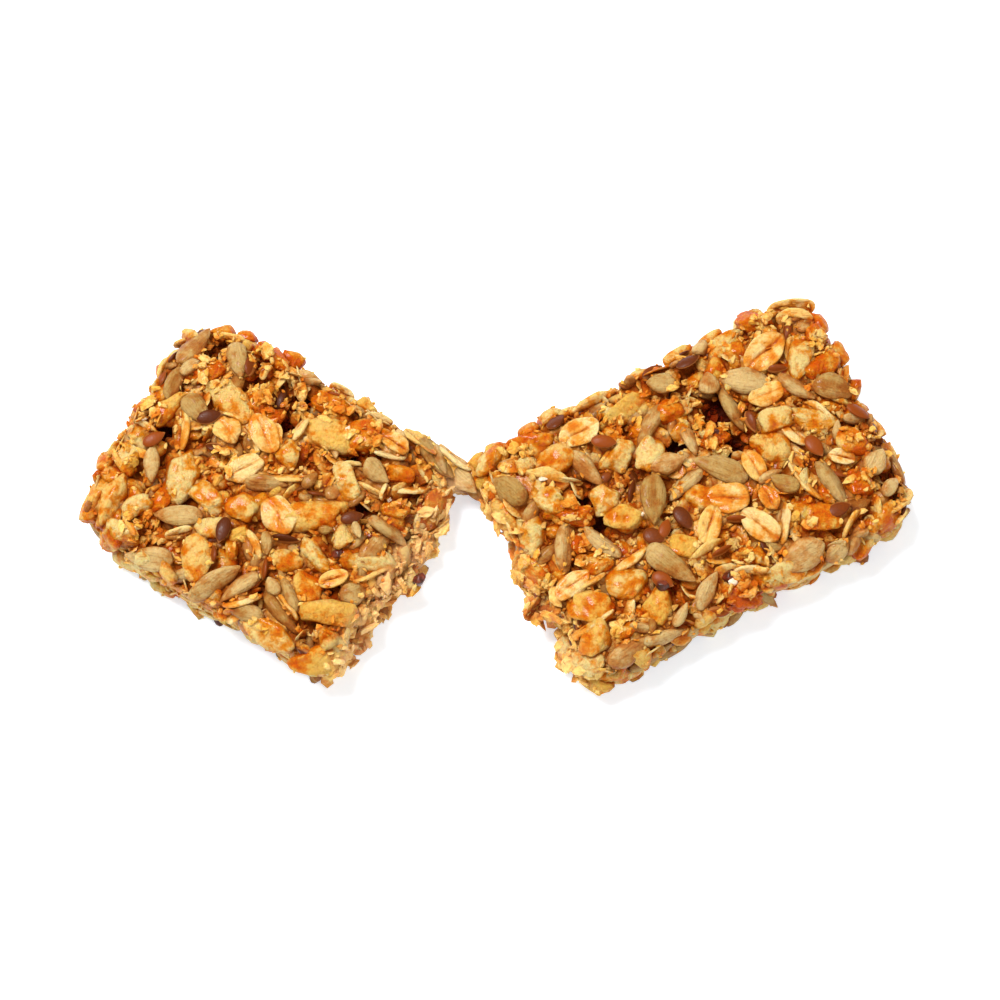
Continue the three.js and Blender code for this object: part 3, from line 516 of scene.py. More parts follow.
def kernelPoints(ball, seed):  # a teardrop with a blunt end, a tip and faint ribs
    draw = np.random.default_rng(seed)
    around = np.arctan2(ball[:, 2], ball[:, 1])
    t = (1 + ball[:, 0]) / 2
    widest = draw.uniform(0.34, 0.46)
    blunt = np.sqrt(np.clip(1 - (1 - t / widest) ** 2, 0, 1))
    past = np.clip((t - widest) / (1 - widest), 0, 1)
    tip = (1 - past ** draw.uniform(1.5, 2.1)) ** draw.uniform(0.72, 0.95)
    profile = np.where(t < widest, blunt, tip)
    rib = 1 + 0.03 * np.cos(draw.integers(7, 10) * around + draw.uniform(0, 6))
    y = profile * rib * np.cos(around) + draw.normal() * 0.12 * (2 * t - 0.9) ** 2
    z = profile ** 0.8 * rib * np.sign(np.sin(around)) * np.abs(np.sin(around)) ** 0.75
    z = z + draw.normal() * 0.25 * (2 * t - 1) ** 2
    z = z - 0.2 * profile * np.exp(-(np.cos(around) / 0.3) ** 2) * (z > 0) * draw.uniform(0, 1)
    points = np.column_stack([ball[:, 0], y, z])
    return points * (1 + 0.03 * lumps(points, seed, 0.9))[:, None]


def seedPoints(ball, seed):  # a smooth flat drop
    draw = np.random.default_rng(seed)
    around = np.arctan2(ball[:, 2], ball[:, 1])
    t = (1 + ball[:, 0]) / 2
    profile = np.where(t < 0.42, np.sqrt(np.clip(1 - (1 - t / 0.42) ** 2, 0, 1)),
                       1 - np.clip((t - 0.42) / 0.58, 0, 1) ** draw.uniform(2, 2.4))
    return np.column_stack([ball[:, 0], profile * np.cos(around), profile * np.sin(around)])


def crispPoints(ball, seed, ragged=0):  # a puffed nugget with a few flattened sides
    draw = np.random.default_rng(seed)
    squareness = draw.uniform(2.2, 3.2)
    points = ball / (np.abs(ball) ** squareness).sum(axis=1)[:, None] ** (1 / squareness)
    for _ in range(draw.integers(6, 10)):
        way = unit(draw.normal(size=3) * [1, 1, 0.5])
        over = 0.05 * np.logaddexp(0, (points @ way - draw.uniform(0.62, 0.94)) / 0.05)
        points = points - 0.9 * over[:, None] * way
    swelling = 0.08 * lumps(points, seed + 1, 1.2) + 0.03 * lumps(points, seed + 2, 0.55)
    clods = np.abs(lumps(points, seed + 3, 0.75)) - 0.4
    grit = np.abs(lumps(points, seed + 4, 0.34)) - 0.4
    rough = ragged * (0.24 * clods + 0.12 * grit) + 0.016 * lumps(points, seed + 5, 0.24)
    points = points * (1 + swelling + rough)[:, None]
    return points / np.abs(points).max(axis=0)


def oatPoints(ball, seed):  # a rolled flake, creased down the middle, its edge uneven
    draw = np.random.default_rng(seed)
    around = np.arctan2(ball[:, 1], ball[:, 0])
    out = np.hypot(ball[:, 0], ball[:, 1])
    edge = 1 + sum(draw.normal() * 0.045 / k ** 0.5 * np.cos(k * around + draw.uniform(0, 6))
                   for k in (2, 3, 4, 5, 7))
    x, y = ball[:, 0] * edge, ball[:, 1] * edge
    z = np.sign(ball[:, 2]) * np.abs(ball[:, 2]) ** 0.5 * 0.55
    crease = np.exp(-((y + 0.08 * np.sin(3 * x)) / 0.1) ** 2) * np.clip(1 - x ** 2, 0, 1)
    z = z - draw.uniform(0.25, 0.8) * crease * (ball[:, 2] > 0) + 0.2 * crease * (ball[:, 2] < 0)
    z = z + draw.uniform(-0.1, 0.6) * (y ** 2 - 0.4) + draw.uniform(-0.4, 0.4) * (x ** 2 - 0.4)
    z = z + 0.14 * out ** 3 * np.sin(draw.integers(2, 5) * around + draw.uniform(0, 6))
    z = z + 0.06 * lumps(np.column_stack([x, y * 2.5, z * 0]), seed + 2, 0.9)
    return np.column_stack([x, y, z])


def crumbPoints(ball, seed):
    draw = np.random.default_rng(seed)
    return ball * draw.uniform(0.55, 1.25, (len(ball), 1)) + draw.normal(0, 0.14, ball.shape)


shapers = {"kernel": kernelPoints, "seed": seedPoints, "crisp": crispPoints, "oat": oatPoints}
plainShapes = {
    name: [shaper(balls[name + "Plain"][0], 70 + k) for k in range(formCounts["plain"])]
    for name, shaper in shapers.items()
}
crumbShapes = {
    name: [crumbPoints(balls[name][0], 90 + k) for k in range(formCounts["crumb"])]
    for name in ("crumb", "chip")
}


class Heap:  # pieces of one kind, gathered into one mesh
    def __init__(self):
        self.parts = {key: [] for key in ("points", "faces", "own", "tone", "glaze", "edge")}
        self.count = 0

    def lay(self, points, faces, piece, floor=barForm["lowest"]):
        local = points * [piece["length"] / 2, piece["width"] / 2, piece["thickness"] / 2]
        normal = piece["normal"]
        across = unit(np.cross(normal, piece["ahead"]))
        ahead = np.cross(across, normal)
        c, s = math.cos(piece["roll"]), math.sin(piece["roll"])
        turn = np.column_stack([ahead, across * c + normal * s, normal * c - across * s])
        placed = local @ turn.T
        rise = placed @ normal
        placed = placed + piece["centre"] + barForm["shift"]
        placed[:, 2] = np.maximum(placed[:, 2], floor)
        values = {
            "points": placed, "faces": faces + self.count, "own": local,
            "tone": np.full(len(points), piece["tone"]), "glaze": np.full(len(points), piece["glaze"]),
            "edge": np.clip(1 - rise / rise.max(), 0, 1),
        }
        for key, rows in values.items():
            self.parts[key].append(rows)
        self.count += len(points)

    def gather(self):
        return {key: np.concatenate(value) for key, value in self.parts.items()}


heaps = {name: Heap() for name in (*shapers, "crumb", "berry", "whiteBit")}


def layFine(piece, crispBall):
    x, y = piece["centre"][:2]
    name, seed = piece["kind"], seedOf(x, y)
    piece.setdefault("tone", chance(x, y, 22))
    points, faces = balls[crispBall if name == "crisp" else name + "Fine"]
    if name == "crisp":
        shaped = crispPoints(points, seed, ragged=max(0, piece["glaze"] - 0.5) * 2)
    else:
        shaped = shapers[name](points, seed)
    heaps[name].lay(shaped, faces, piece)


def layPlain(piece, floor=barForm["lowest"]):
    x, y, z = piece["centre"]
    piece.setdefault("tone", chance(x + z, y, 22))
    name = piece["kind"]
    form = int(formCounts["plain"] * chance(x, y + z, 23))
    heaps[name].lay(plainShapes[name][form], balls[name + "Plain"][1], piece, floor)


laid = [topPiece(name, row) for name, rows in showing.items() for row in rows]
walls = wallPieces(*halves) + wallPieces(*halves[::-1])
gaps = gapPieces(laid)
small = [topPiece(name, row) for name, rows in between.items() for row in rows]
for piece in laid:
    layFine(piece, "crispFine")
for piece in walls + gaps + small:
    layFine(piece, "crispMiddle")
print("main pieces laid:", len(laid + walls + gaps + small))


# Smaller pieces packed in below, round the walls and on the underside
packing = {
    "under": {"spacing": 2.8, "jitter": 0.9, "fromEdge": 0.9, "fromPocket": 0.3, "sink": 1.3,
              "spread": 1.3, "bedded": 0.4, "tilt": 0.25, "sizes": (3.4, 6), "glaze": (0.1, 0.7)},
    "wall": {"spacing": 3.4, "heights": (1.2, 3.4, 5.6, 7.8, 9.6), "inset": (0.9, 1.9),
             "nearTear": 3, "drawnIn": 0.7, "tornInset": (0, 1.6), "bob": 0.8, "belowTop": 0.6,
             "besideOther": -1, "tilt": 0.3, "facesUp": 0.15, "sizes": (2.6, 5.4),
             "glaze": (0, 0.5), "tornGlaze": 0.4},
    "floor": {"spacing": 3.9, "jitter": 1.1, "fromEdge": 2.2, "tilt": 0.2, "sizes": (3.6, 6.8),
              "glaze": (0.2, 0.8), "pressedTo": (0.02, 0.24)},
    "reachX": 71, "reachY": 34,
}
packedKinds = {  # how often drawn, how much longer, its width, its thickness as base and share
    "crisp": {"often": 0.3, "longer": 1, "width": 0.72, "thick": (0.35, 0.45)},
    "oat": {"often": 0.47, "longer": 1, "width": 0.66, "thick": (0.25, 0.15)},
    "kernel": {"often": 0.18, "longer": 1.25, "width": 0.46, "thick": (0.35, 0.45)},
    "seed": {"often": 0.05, "longer": 0.9, "width": 0.52, "thick": (0.35, 0.45)},
}


def packedKind(draw):
    return draw.choice(list(packedKinds), p=[kind["often"] for kind in packedKinds.values()])


def packedPiece(draw, name, sizes, centre, normal, glaze):
    kind = packedKinds[name]
    length = draw.uniform(*sizes) * kind["longer"]
    width = kind["width"] * length * draw.uniform(0.85, 1.15)
    heading = unit(draw.normal(size=3) - normal * 0.01)
    heading = unit(heading - (heading @ normal) * normal * 0.85)
    base, share = kind["thick"]
    thickness = max(base + share * width, 0.5)
    return {
        "kind": name, "length": length, "width": width, "thickness": thickness,
        "roll": draw.normal() * 0.45, "centre": centre, "normal": normal, "ahead": heading,
        "glaze": glaze,
    }


def hexPlaces(draw, layer):  # staggered rows, each place a little off
    spacing, jitter = layer["spacing"], layer["jitter"]
    reachX, reachY = packing["reachX"], packing["reachY"]
    for row, y in enumerate(np.arange(-reachY, reachY, spacing * math.sin(math.pi / 3))):
        for x in np.arange(-reachX + 0.5 * spacing * (row % 2), reachX, spacing):
            yield x + jitter * draw.uniform(-1, 1), y + jitter * draw.uniform(-1, 1)


def packUnder():
    draw = np.random.default_rng(11)
    under = packing["under"]
    for x, y in hexPlaces(draw, under):
        onBar = readField("inside", x, y) > under["fromEdge"]
        if onBar and not nearPocket(x, y, under["fromPocket"]):
            z = readField("top", x, y) - under["sink"] - under["spread"] * draw.uniform(0, 1)
            normal = unit(topNormal(x, y) + draw.normal(size=3) * under["tilt"])
            name = packedKind(draw)
            layPlain(packedPiece(draw, name, under["sizes"], np.array([x, y, z - under["bedded"]]),
                                 normal, draw.uniform(*under["glaze"])))


def wallPlaces(draw, wall):  # places round both halves, row above row
    for half, other in (halves, halves[::-1]):
        for height in wall["heights"]:
            for start, end, outward in half["sides"]:
                run = end - start
                count = max(1, round(np.linalg.norm(run) / wall["spacing"]))
                for k in range(count):
                    yield half, other, start + run * (k + draw.uniform(0, 1)) / count, height, outward


def packWalls():
    draw = np.random.default_rng(12)
    wall = packing["wall"]
    for half, other, (x, y), height, outward in wallPlaces(draw, wall):
        torn = segmentDistance(x, y, *half["tear"]) < wall["nearTear"]
        inset = draw.uniform(*wall["inset"])
        if torn:
            inset += half["drawnIn"] * wall["drawnIn"] + draw.uniform(*wall["tornInset"])
        x, y = x - outward[0] * inset, y - outward[1] * inset
        z = height + draw.uniform(-wall["bob"], wall["bob"])
        covered = depthInside(other, x, y) > wall["besideOther"]
        if covered or z > readField("top", x, y) - wall["belowTop"]:
            continue
        normal = unit(outward + draw.normal(size=3) * wall["tilt"] + [0, 0, wall["facesUp"]])
        name = packedKind(draw)
        glaze = draw.uniform(*wall["glaze"]) * (wall["tornGlaze"] if torn else 1)
        layPlain(packedPiece(draw, name, wall["sizes"], np.array([x, y, z]), normal, glaze))


def packFloor():  # pressed flat against the tray
    draw = np.random.default_rng(13)
    floor = packing["floor"]
    for x, y in hexPlaces(draw, floor):
        if readField("inside", x, y) > floor["fromEdge"]:
            name = packedKind(draw)
            normal = unit(np.array([0, 0, -1]) + draw.normal(size=3) * floor["tilt"])
            piece = packedPiece(draw, name, floor["sizes"], np.array([x, y, 0.0]), normal,
                                draw.uniform(*floor["glaze"]))
            piece["centre"][2] = 0.3 * piece["thickness"]
            layPlain(piece, floor=draw.uniform(*floor["pressedTo"]))


packUnder()
packWalls()
packFloor()
print("packed round:", {name: heap.count for name, heap in heaps.items()})


# The syrup that binds them, drawn up into every corner
syrup = {
    "voxel": 0.6, "shrink": 1.3, "smoothing": 4, "sink": 0.64, "floor": 0.25,
    "lumps": {2.4: 0.22, 1.1: 0.14},  # size of lump: height
}


def intoScene(obj):
    bpy.context.scene.collection.objects.link(obj)


def heapArrays():  # the points and faces of what is laid so far, kind by kind
    gathered = [heaps[name].gather() for name in shapers]
    return [(arrays["points"], arrays["faces"]) for arrays in gathered]


def joined(shapes):  # several lots of points and faces as one
    points, faces, count = [], [], 0
    for ownPoints, ownFaces in shapes:
        points.append(ownPoints)
        faces.append(ownFaces + count)
        count += len(ownPoints)
    return np.concatenate(points), np.concatenate(faces)


def readVectors(source, key):
    values = np.empty(len(source) * 3, np.float32)
    source.foreach_get(key, values)
    return values.reshape(-1, 3).astype(float)


def triangles(mesh):
    return np.array([polygon.vertices[:] for polygon in mesh.polygons])


def shrunkCore():  # the solid's skin, drawn in
    bm = bmesh.new()
    bm.from_mesh(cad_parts["granola_bar"].data)
    bmesh.ops.remove_doubles(bm, verts=bm.verts, dist=0.01 * mm)
    core = bpy.data.meshes.new("core")
    bm.to_mesh(core)
    bm.free()
    points = readVectors(core.vertices, "co") / mm
    return points - readVectors(core.vertex_normals, "vector") * syrup["shrink"], triangles(core)


def melted(points, faces):  # one smooth skin round everything
    mesh = bpy.data.meshes.new("joined")
    mesh.from_pydata(points * mm, [], faces)
    carrier = bpy.data.objects.new("carrier", mesh)
    intoScene(carrier)
    melt = carrier.modifiers.new("melt", "REMESH")
    melt.mode = "VOXEL"
    melt.voxel_size = syrup["voxel"] * mm
    depsgraph = bpy.context.evaluated_depsgraph_get()
    skin = bpy.data.meshes.new_from_object(carrier.evaluated_get(depsgraph))
    bpy.data.objects.remove(carrier)
    bm = bmesh.new()
    bm.from_mesh(skin)
    for _ in range(syrup["smoothing"]):
        bmesh.ops.smooth_vert(bm, verts=bm.verts, factor=0.5,
                              use_axis_x=True, use_axis_y=True, use_axis_z=True)
    bmesh.ops.triangulate(bm, faces=bm.faces)
    bm.to_mesh(skin)
    bm.free()
    return skin


def makeBinder():  # that skin, sunk back so that the pieces stand out of it
    mesh = melted(*joined([shrunkCore(), *heapArrays()]))
    points = readVectors(mesh.vertices, "co") / mm
    rise = sum(height * lumps(points, int(100 * size), size) for size, height in syrup["lumps"].items())
    points += readVectors(mesh.vertex_normals, "vector") * (rise - syrup["sink"])[:, None]
    points[:, 2] = np.maximum(points[:, 2], syrup["floor"])
    mesh.vertices.foreach_set("co", (points * mm).astype(np.float32).ravel())
    mesh.update()
    return mesh


binderMesh = makeBinder()
print("syrup triangles:", len(binderMesh.polygons))

# What lies on the outside, and how deep each point is below it
binderPoints, binderFaces = readVectors(binderMesh.vertices, "co") / mm, triangles(binderMesh)
surfacePoints, surfaceFaces = joined([*heapArrays(), (binderPoints, binderFaces)])
surface = BVHTree.FromPolygons(surfacePoints.tolist(), surfaceFaces.tolist())
binderTree = BVHTree.FromPolygons(binderPoints.tolist(), binderFaces.tolist())
perMillimetre = round(1 / step)  # points of the grid
# How deep each point lies sets the painted shade of the finishes
buried = {
    "deepest": 6, "overEdge": 0.6, "overNeck": 1.2, "neckFrom": 3.5,
    "tornFrom": 0.5, "tornOver": 4.5, "tornLeast": 0.15,  # torn faces stay pale, with less painted shade
    # more painted shade in the pockets
    "inPockets": 0.5,
}


def landing(origin, way):  # where a ray meets the surface, the way that faces, and how far off
    hit, normal, _, distance = surface.ray_cast(Vector(origin), Vector(way))
    return (np.array(hit), np.array(normal), distance) if hit else None


def fallOnto(x, y):
    return landing((x, y + barForm["shift"][1], 30), (0, 0, -1))


def heightsAbove():  # the height of what shows, at each point of a grid of 1 mm
    found = [[fallOnto(x, y) for y in gridY[::perMillimetre]] for x in gridX[::perMillimetre]]
    return np.array([[hit[0][2] if hit else 0 for hit in column] for column in found])


def spread(values, reach, merge):  # merge each value with its neighbours within reach
    padded = np.pad(values, reach, mode="edge")
    nx, ny = values.shape
    shifted = [padded[i:i + nx, j:j + ny] for i in range(2 * reach + 1) for j in range(2 * reach + 1)]
    return merge(shifted, axis=0)


raised = spread(spread(heightsAbove(), 2, np.max), 2, np.mean)
raised = raised.repeat(perMillimetre, axis=0).repeat(perMillimetre, axis=1)
fields["raised"] = raised[:len(gridX), :len(gridY)]


def buriedDepth(points):  # how far a point lies below the bar's outer surface, deepened in the pockets and lessened near a tear, for the painted shade
    x, y, z = points[:, 0], points[:, 1] - barForm["shift"][1], points[:, 2]
    neckTop = neckHeight(x, y)
    onNeck = neckTop > buried["neckFrom"]
    fromTop = readField("raised", x, y) - z
    fromTop = np.where(onNeck, np.minimum(fromTop, neckTop + buried["overNeck"] - z), fromTop)
    fromRim = np.where(onNeck, fromTop, np.maximum(readField("inside", x, y) + buried["overEdge"], 0))
    depth = np.minimum(np.minimum(fromTop, fromRim), z + buried["overEdge"])
    fromTear = (readField("fromTear", x, y) - buried["tornFrom"]) / buried["tornOver"]
    # Extra painted shade in the pockets
    pocketShade = sum(np.exp(-((x - px) ** 2 + (y - py) ** 2) / radius ** 2) for px, py, radius in pockets)
    depth = np.clip(depth, 0, buried["deepest"]) * np.clip(fromTear, buried["tornLeast"], 1)
    return np.minimum(depth * (1 + buried["inPockets"] * pocketShade), buried["deepest"])


def paleAndLitTorn(points):  # how pale a place by the tear is painted: partly its fresh crumb, partly painted light
    return readField("torn", points[:, 0], points[:, 1] - barForm["shift"][1])


def fromSyrup(points):  # how far each point lies from the syrup
    return np.array([binderTree.find_nearest(Vector(point))[3] for point in points])


# Crumbs, scattered over what is there
crumbs = {
    "scattered": 1700, "sizes": (0.5, 1.3), "chips": 0.45, "glaze": (0, 0.8), "fromEdge": 0.9,
    "heaped": {"chip": {"perArea": 1.3, "sizes": (0.9, 2)}, "crumb": {"perArea": 1.4, "sizes": (0.4, 1)}},
    "heapRise": 0.4, "flatness": {"chip": (0.25, 0.6), "crumb": (0.3, 0.85)},
    "onWalls": 800, "nearTear": 3.5, "skipped": 0.55, "heights": (0.4, 10), "from": 6, "within": 12,
    "torn": {"form": "chip", "sizes": (0.8, 2.7), "glaze": (-0.2, 0.4)},
    "pressed": {"form": "crumb", "sizes": (0.35, 0.8), "glaze": (0.1, 0.6)},
}
crumbHeaps = [  # x, y, radius, how glazed
    [-48, 20.3, 3.4, 0.8], [-36.7, 22.3, 3.2, 0.6], [-39.5, 24.5, 2.6, 0.6],
    [-39.8, 15.5, 2.8, 0.9], [-34.5, 13.5, 2, 0.6], [-44.8, -21.5, 2, 0.5],
    [-39.5, -23.8, 2, 0.4], [-46, 4, 3, 0.7], [-17.3, -16, 2, 0.1], [-27.5, 15, 3.4, 0.9],
    [-22.2, 8.8, 3.4, 0.8], [-17, -3.7, 2.2, 0.7], [-59, -6, 3, 0.5],
    [-58, 14, 3, 0.4], [-61, 6, 2.4, 0.5],
    [43, 29.5, 3.4, 0.7], [16, -11, 3, 0.6], [50, -4, 2.6, 0.7], [42, -12, 3, 0.9],
    [36, 10, 3.4, 1], [34, 14, 2.4, 0.4], [39.8, -18.2, 4, 0.9], [12.6, -4.4, 3.2, 0.8],
    [5, -15, 3.4, 0.6], [30.5, 16.5, 2.6, 0.8], [60, 9, 3, 0.7], [53.5, 26, 2.6, 0.6],
    [60.4, 0.8, 2.8, 0.7], [3, 8, 3, 0.6], [22, -24, 3, 0.4],
]


def layCrumb(draw, hit, normal, size, glaze, form):
    flat = draw.uniform(*crumbs["flatness"][form])
    piece = {
        "length": size * draw.uniform(1, 1.8), "width": size, "thickness": size * flat,
        "roll": draw.normal() * 0.6, "normal": unit(normal + draw.normal(size=3) * 0.3),
        "ahead": unit(draw.normal(size=3)), "glaze": glaze, "tone": draw.uniform(0, 1),
        "centre": hit + normal * size * flat * draw.uniform(0, 0.35) - barForm["shift"],
    }
    shape = crumbShapes[form][draw.integers(formCounts["crumb"])]
    heaps["crumb"].lay(shape, balls[form][1], piece)


def heapCrumbs(draw, form, heaped):
    for x, y, radius, glaze in crumbHeaps:
        for _ in range(int(heaped["perArea"] * radius ** 2)):
            reach, way = radius * math.sqrt(draw.uniform(0, 1)), draw.uniform(0, 2 * math.pi)
            atX, atY = x + reach * math.cos(way), y + reach * math.sin(way)
            found = fallOnto(atX, atY)
            if found and readField("inside", atX, atY) > crumbs["fromEdge"]:
                lift = np.array([0, 0, crumbs["heapRise"] * (1 - (reach / radius) ** 2)])
                layCrumb(draw, found[0] + lift, found[1], draw.uniform(*heaped["sizes"]),
                         0.6 * glaze + draw.uniform(-0.3, 0.3), form)


def scatterCrumbs(draw):  # most where it is low
    dropped = 0
    while dropped < crumbs["scattered"]:
        x, y = draw.uniform(*barForm["gridX"]), draw.uniform(*barForm["gridY"])
        found = readField("inside", x, y) >= crumbs["fromEdge"] and fallOnto(x, y)
        if not found:
            continue
        hit, normal, _ = found
        low = readField("raised", x, y) - hit[2]
        if draw.uniform(0, 1) < np.clip(0.5 * low - 0.3, 0.003, 1):
            form = "chip" if draw.uniform(0, 1) < crumbs["chips"] else "crumb"
            layCrumb(draw, hit, normal, draw.uniform(*crumbs["sizes"]), draw.uniform(*crumbs["glaze"]),
                     form)
            dropped += 1


def stickCrumbs(draw):  # on the walls and the torn faces
    stuck = 0
    while stuck < crumbs["onWalls"]:
        half = halves[draw.integers(2)]
        start, end, outward = half["sides"][draw.integers(barForm["rimSteps"])]
        at = start + (end - start) * draw.uniform(0, 1)
        torn = segmentDistance(at[0], at[1], *half["tear"]) < crumbs["nearTear"]
        if not torn and draw.uniform(0, 1) < crumbs["skipped"]:
            continue
        origin = np.array([*at, draw.uniform(*crumbs["heights"])]) + outward * crumbs["from"]
        found = landing(origin + barForm["shift"], -outward)
        if found and found[2] < crumbs["within"]:
            face = crumbs["torn" if torn else "pressed"]
            layCrumb(draw, found[0], found[1], draw.uniform(*face["sizes"]), draw.uniform(*face["glaze"]),
                     face["form"])
            stuck += 1


crumbDraw = np.random.default_rng(14)
for form, heaped in crumbs["heaped"].items():
    heapCrumbs(crumbDraw, form, heaped)
scatterCrumbs(crumbDraw)
stickCrumbs(np.random.default_rng(15))
print("crumbs laid")

# Berry bits and white bits: x, y, size, how round, how far below the top
bits = {
    "berry": [
        [-26.5, -10.8, 2.1, 1.0, 0], [-21, -7.8, 1.3, 0.8, 0.3], [37.8, -14.5, 2.4, 0.9, 0],
        [27, -17.5, 2.2, 0.8, 1.2], [-12.9, -14.3, 2.6, 0.95, 2.2], [36, 9.5, 1.5, 0.7, 0],
    ],
    "whiteBit": [
        [-24.9, 10.2, 1, 0.5, 0], [-18, -1.5, 0.9, 0.5, 0], [-59, 11.8, 1.4, 0.35, 0],
        [38.6, -16.2, 1.8, 0.6, 0], [23.7, -4.5, 0.8, 0.6, 0], [7.5, 1.8, 1.9, 0.3, 0],
    ],
}


def layBits():
    for name, rows in bits.items():
        for x, y, size, roundness, below in rows:
            found = fallOnto(x, y)
            if found and below < 2:
                hit, normal, _ = found
            else:  # it sticks out of a torn face
                hit = np.array([x, y, readField("top", x, y) - below]) + barForm["shift"]
                normal = np.array([0, 0, 1])
            piece = {
                "length": size, "width": size * 0.8, "thickness": size * roundness, "roll": 0.2,
                "normal": normal, "ahead": np.array([0.8, 0.6, 0.1]), "glaze": 0.2,
                "tone": chance(x, y, 24), "centre": hit + normal * size * 0.2 - barForm["shift"],
            }
            points, faces = balls["crispFine"]
            heaps[name].lay(crispPoints(points, seedOf(x, y), ragged=0.3), faces, piece)


layBits()


# Finishes
def paint(code):  # a web colour as linear light
    parts = [int(code[k:k + 2], 16) / 255 for k in (1, 3, 5)]
    return tuple(p / 12.92 if p < 0.04045 else ((p + 0.055) / 1.055) ** 2.4 for p in parts) + (1,)


class Value:  # a shader socket that takes part in sums
    def __init__(self, finish, socket):
        self.finish = finish
        self.socket = socket

    def sum(self, operation, first, second):
        return self.finish.node("ShaderNodeMath", {"operation": operation}, {0: first, 1: second})

    def __add__(self, other):
        return self.sum("ADD", self, other)

    def __radd__(self, other):
        return self.sum("ADD", other, self)

    def __sub__(self, other):
        return self.sum("SUBTRACT", self, other)

    def __rsub__(self, other):
        return self.sum("SUBTRACT", other, self)

    def __mul__(self, other):
        return self.sum("MULTIPLY", self, other)

    def __rmul__(self, other):
        return self.sum("MULTIPLY", other, self)


class Finish:  # one material and its nodes
    def __init__(self, name):
        self.material = bpy.data.materials.new(name)
        self.material.use_nodes = True
        self.tree = self.material.node_tree
        self.tree.nodes.clear()

    def node(self, kind, settings=None, sockets=None, output=0):
        made = self.tree.nodes.new(kind)
        for name, value in (settings or {}).items():
            setattr(made, name, value)
        for name, value in (sockets or {}).items():
            if isinstance(value, Value):
                self.tree.links.new(value.socket, made.inputs[name])
            else:
                made.inputs[name].default_value = paint(value) if isinstance(value, str) else value
        return Value(self, made.outputs[output])

    def attribute(self, name, output="Fac"):
        return self.node("ShaderNodeAttribute", {"attribute_name": name}, output=output)

    def place(self):
        return self.node("ShaderNodeTexCoord", output="Object")

    def stretched(self, vector, scale):
        return self.node("ShaderNodeVectorMath", {"operation": "MULTIPLY"}, {0: vector, 1: scale})

    def noise(self, vector, scale, detail=3, roughness=0.55):
        return self.node("ShaderNodeTexNoise", {"noise_dimensions": "3D"},
                         {"Vector": vector, "Scale": scale, "Detail": detail, "Roughness": roughness})

    def cells(self, vector, scale):  # distance from the middle of the nearest cell
        return self.node("ShaderNodeTexVoronoi", {}, {"Vector": vector, "Scale": scale})

    def between(self, value, low, high):
        return self.node("ShaderNodeMapRange", {"interpolation_type": "SMOOTHSTEP"},
                         {"Value": value, "From Min": low, "From Max": high})

    def blend(self, factor, first, second, how="MIX"):
        return self.node("ShaderNodeMix", {"data_type": "RGBA", "blend_type": how},
                         {0: factor, 6: first, 7: second}, output=2)

    def stained(self, colour, share, stain):
        return self.blend(share, colour, stain, "MULTIPLY")

    def bumped(self, height, distance, strength=1.0):
        return self.node("ShaderNodeBump", {}, {"Strength": strength, "Distance": distance * mm,
                                                "Height": height})

    def close(self, sockets):
        shader = self.node("ShaderNodeBsdfPrincipled", {}, sockets)
        end = self.tree.nodes.new("ShaderNodeOutputMaterial")
        self.tree.links.new(shader.socket, end.inputs["Surface"])
        return self.material


# What varies from kind to kind: colours, how much syrup shows, how it shines, its grain
# Each kind's darkest colour serves its streaks and the painted shade of its hollows and lower rim; its creep
# of syrup up the sides is partly painted shade
grains = {
    "crisp": {
        "pale": "#FFE69C", "warm": "#FCC85C", "glaze": "#F0B240", "shadeAndStreak": "#B8762C",
        "takes": 1, "dips": 1.6, "sideSyrupAndShade": 0.32, "grain": 1.9, "mottle": 0.28, "pits": 0.3, "streaks": 0,
        "crease": 0, "rim": 0, "roughness": 0.5,
    },
    "oat": {
        "pale": "#FFE6A6", "warm": "#FAD27C", "glaze": "#F0B84C", "shadeAndStreak": "#BC863A",
        "takes": 0.9, "dips": 0.8, "sideSyrupAndShade": 0.26, "grain": 1.1, "mottle": 0.2, "pits": 0.15, "streaks": 0.45,
        "crease": 0.5, "rim": 0.3, "roughness": 0.52,
    },
    "kernel": {
        "pale": "#D0B67E", "warm": "#AE8E50", "glaze": "#E8AC54", "shadeAndStreak": "#A2743A",
        "takes": 0.66, "dips": 0.4, "sideSyrupAndShade": 0.5, "grain": 0.6, "mottle": 0.25, "pits": 0.15, "streaks": 0.6,
        "crease": 0, "rim": 0.2, "roughness": 0.42,
    },
    "crumb": {
        "pale": "#FCDA88", "warm": "#F0B850", "glaze": "#ECB046", "shadeAndStreak": "#B47A34",
        "takes": 0.8, "dips": 0.4, "sideSyrupAndShade": 0.1, "grain": 0.6, "mottle": 0.3, "pits": 0.3, "streaks": 0,
        "crease": 0, "rim": 0, "roughness": 0.52,
    },
}

grainShared = {
    "blotches": 260, "dabs": 620, "fine": 1500, "freckles": 2600,  # noise to the metre
    # The torn colour makes a torn face paler: partly its fresh crumb, partly painted light
    "rim": "#EED29A", "freckle": "#D08A44", "torn": "#FFD49A",
}


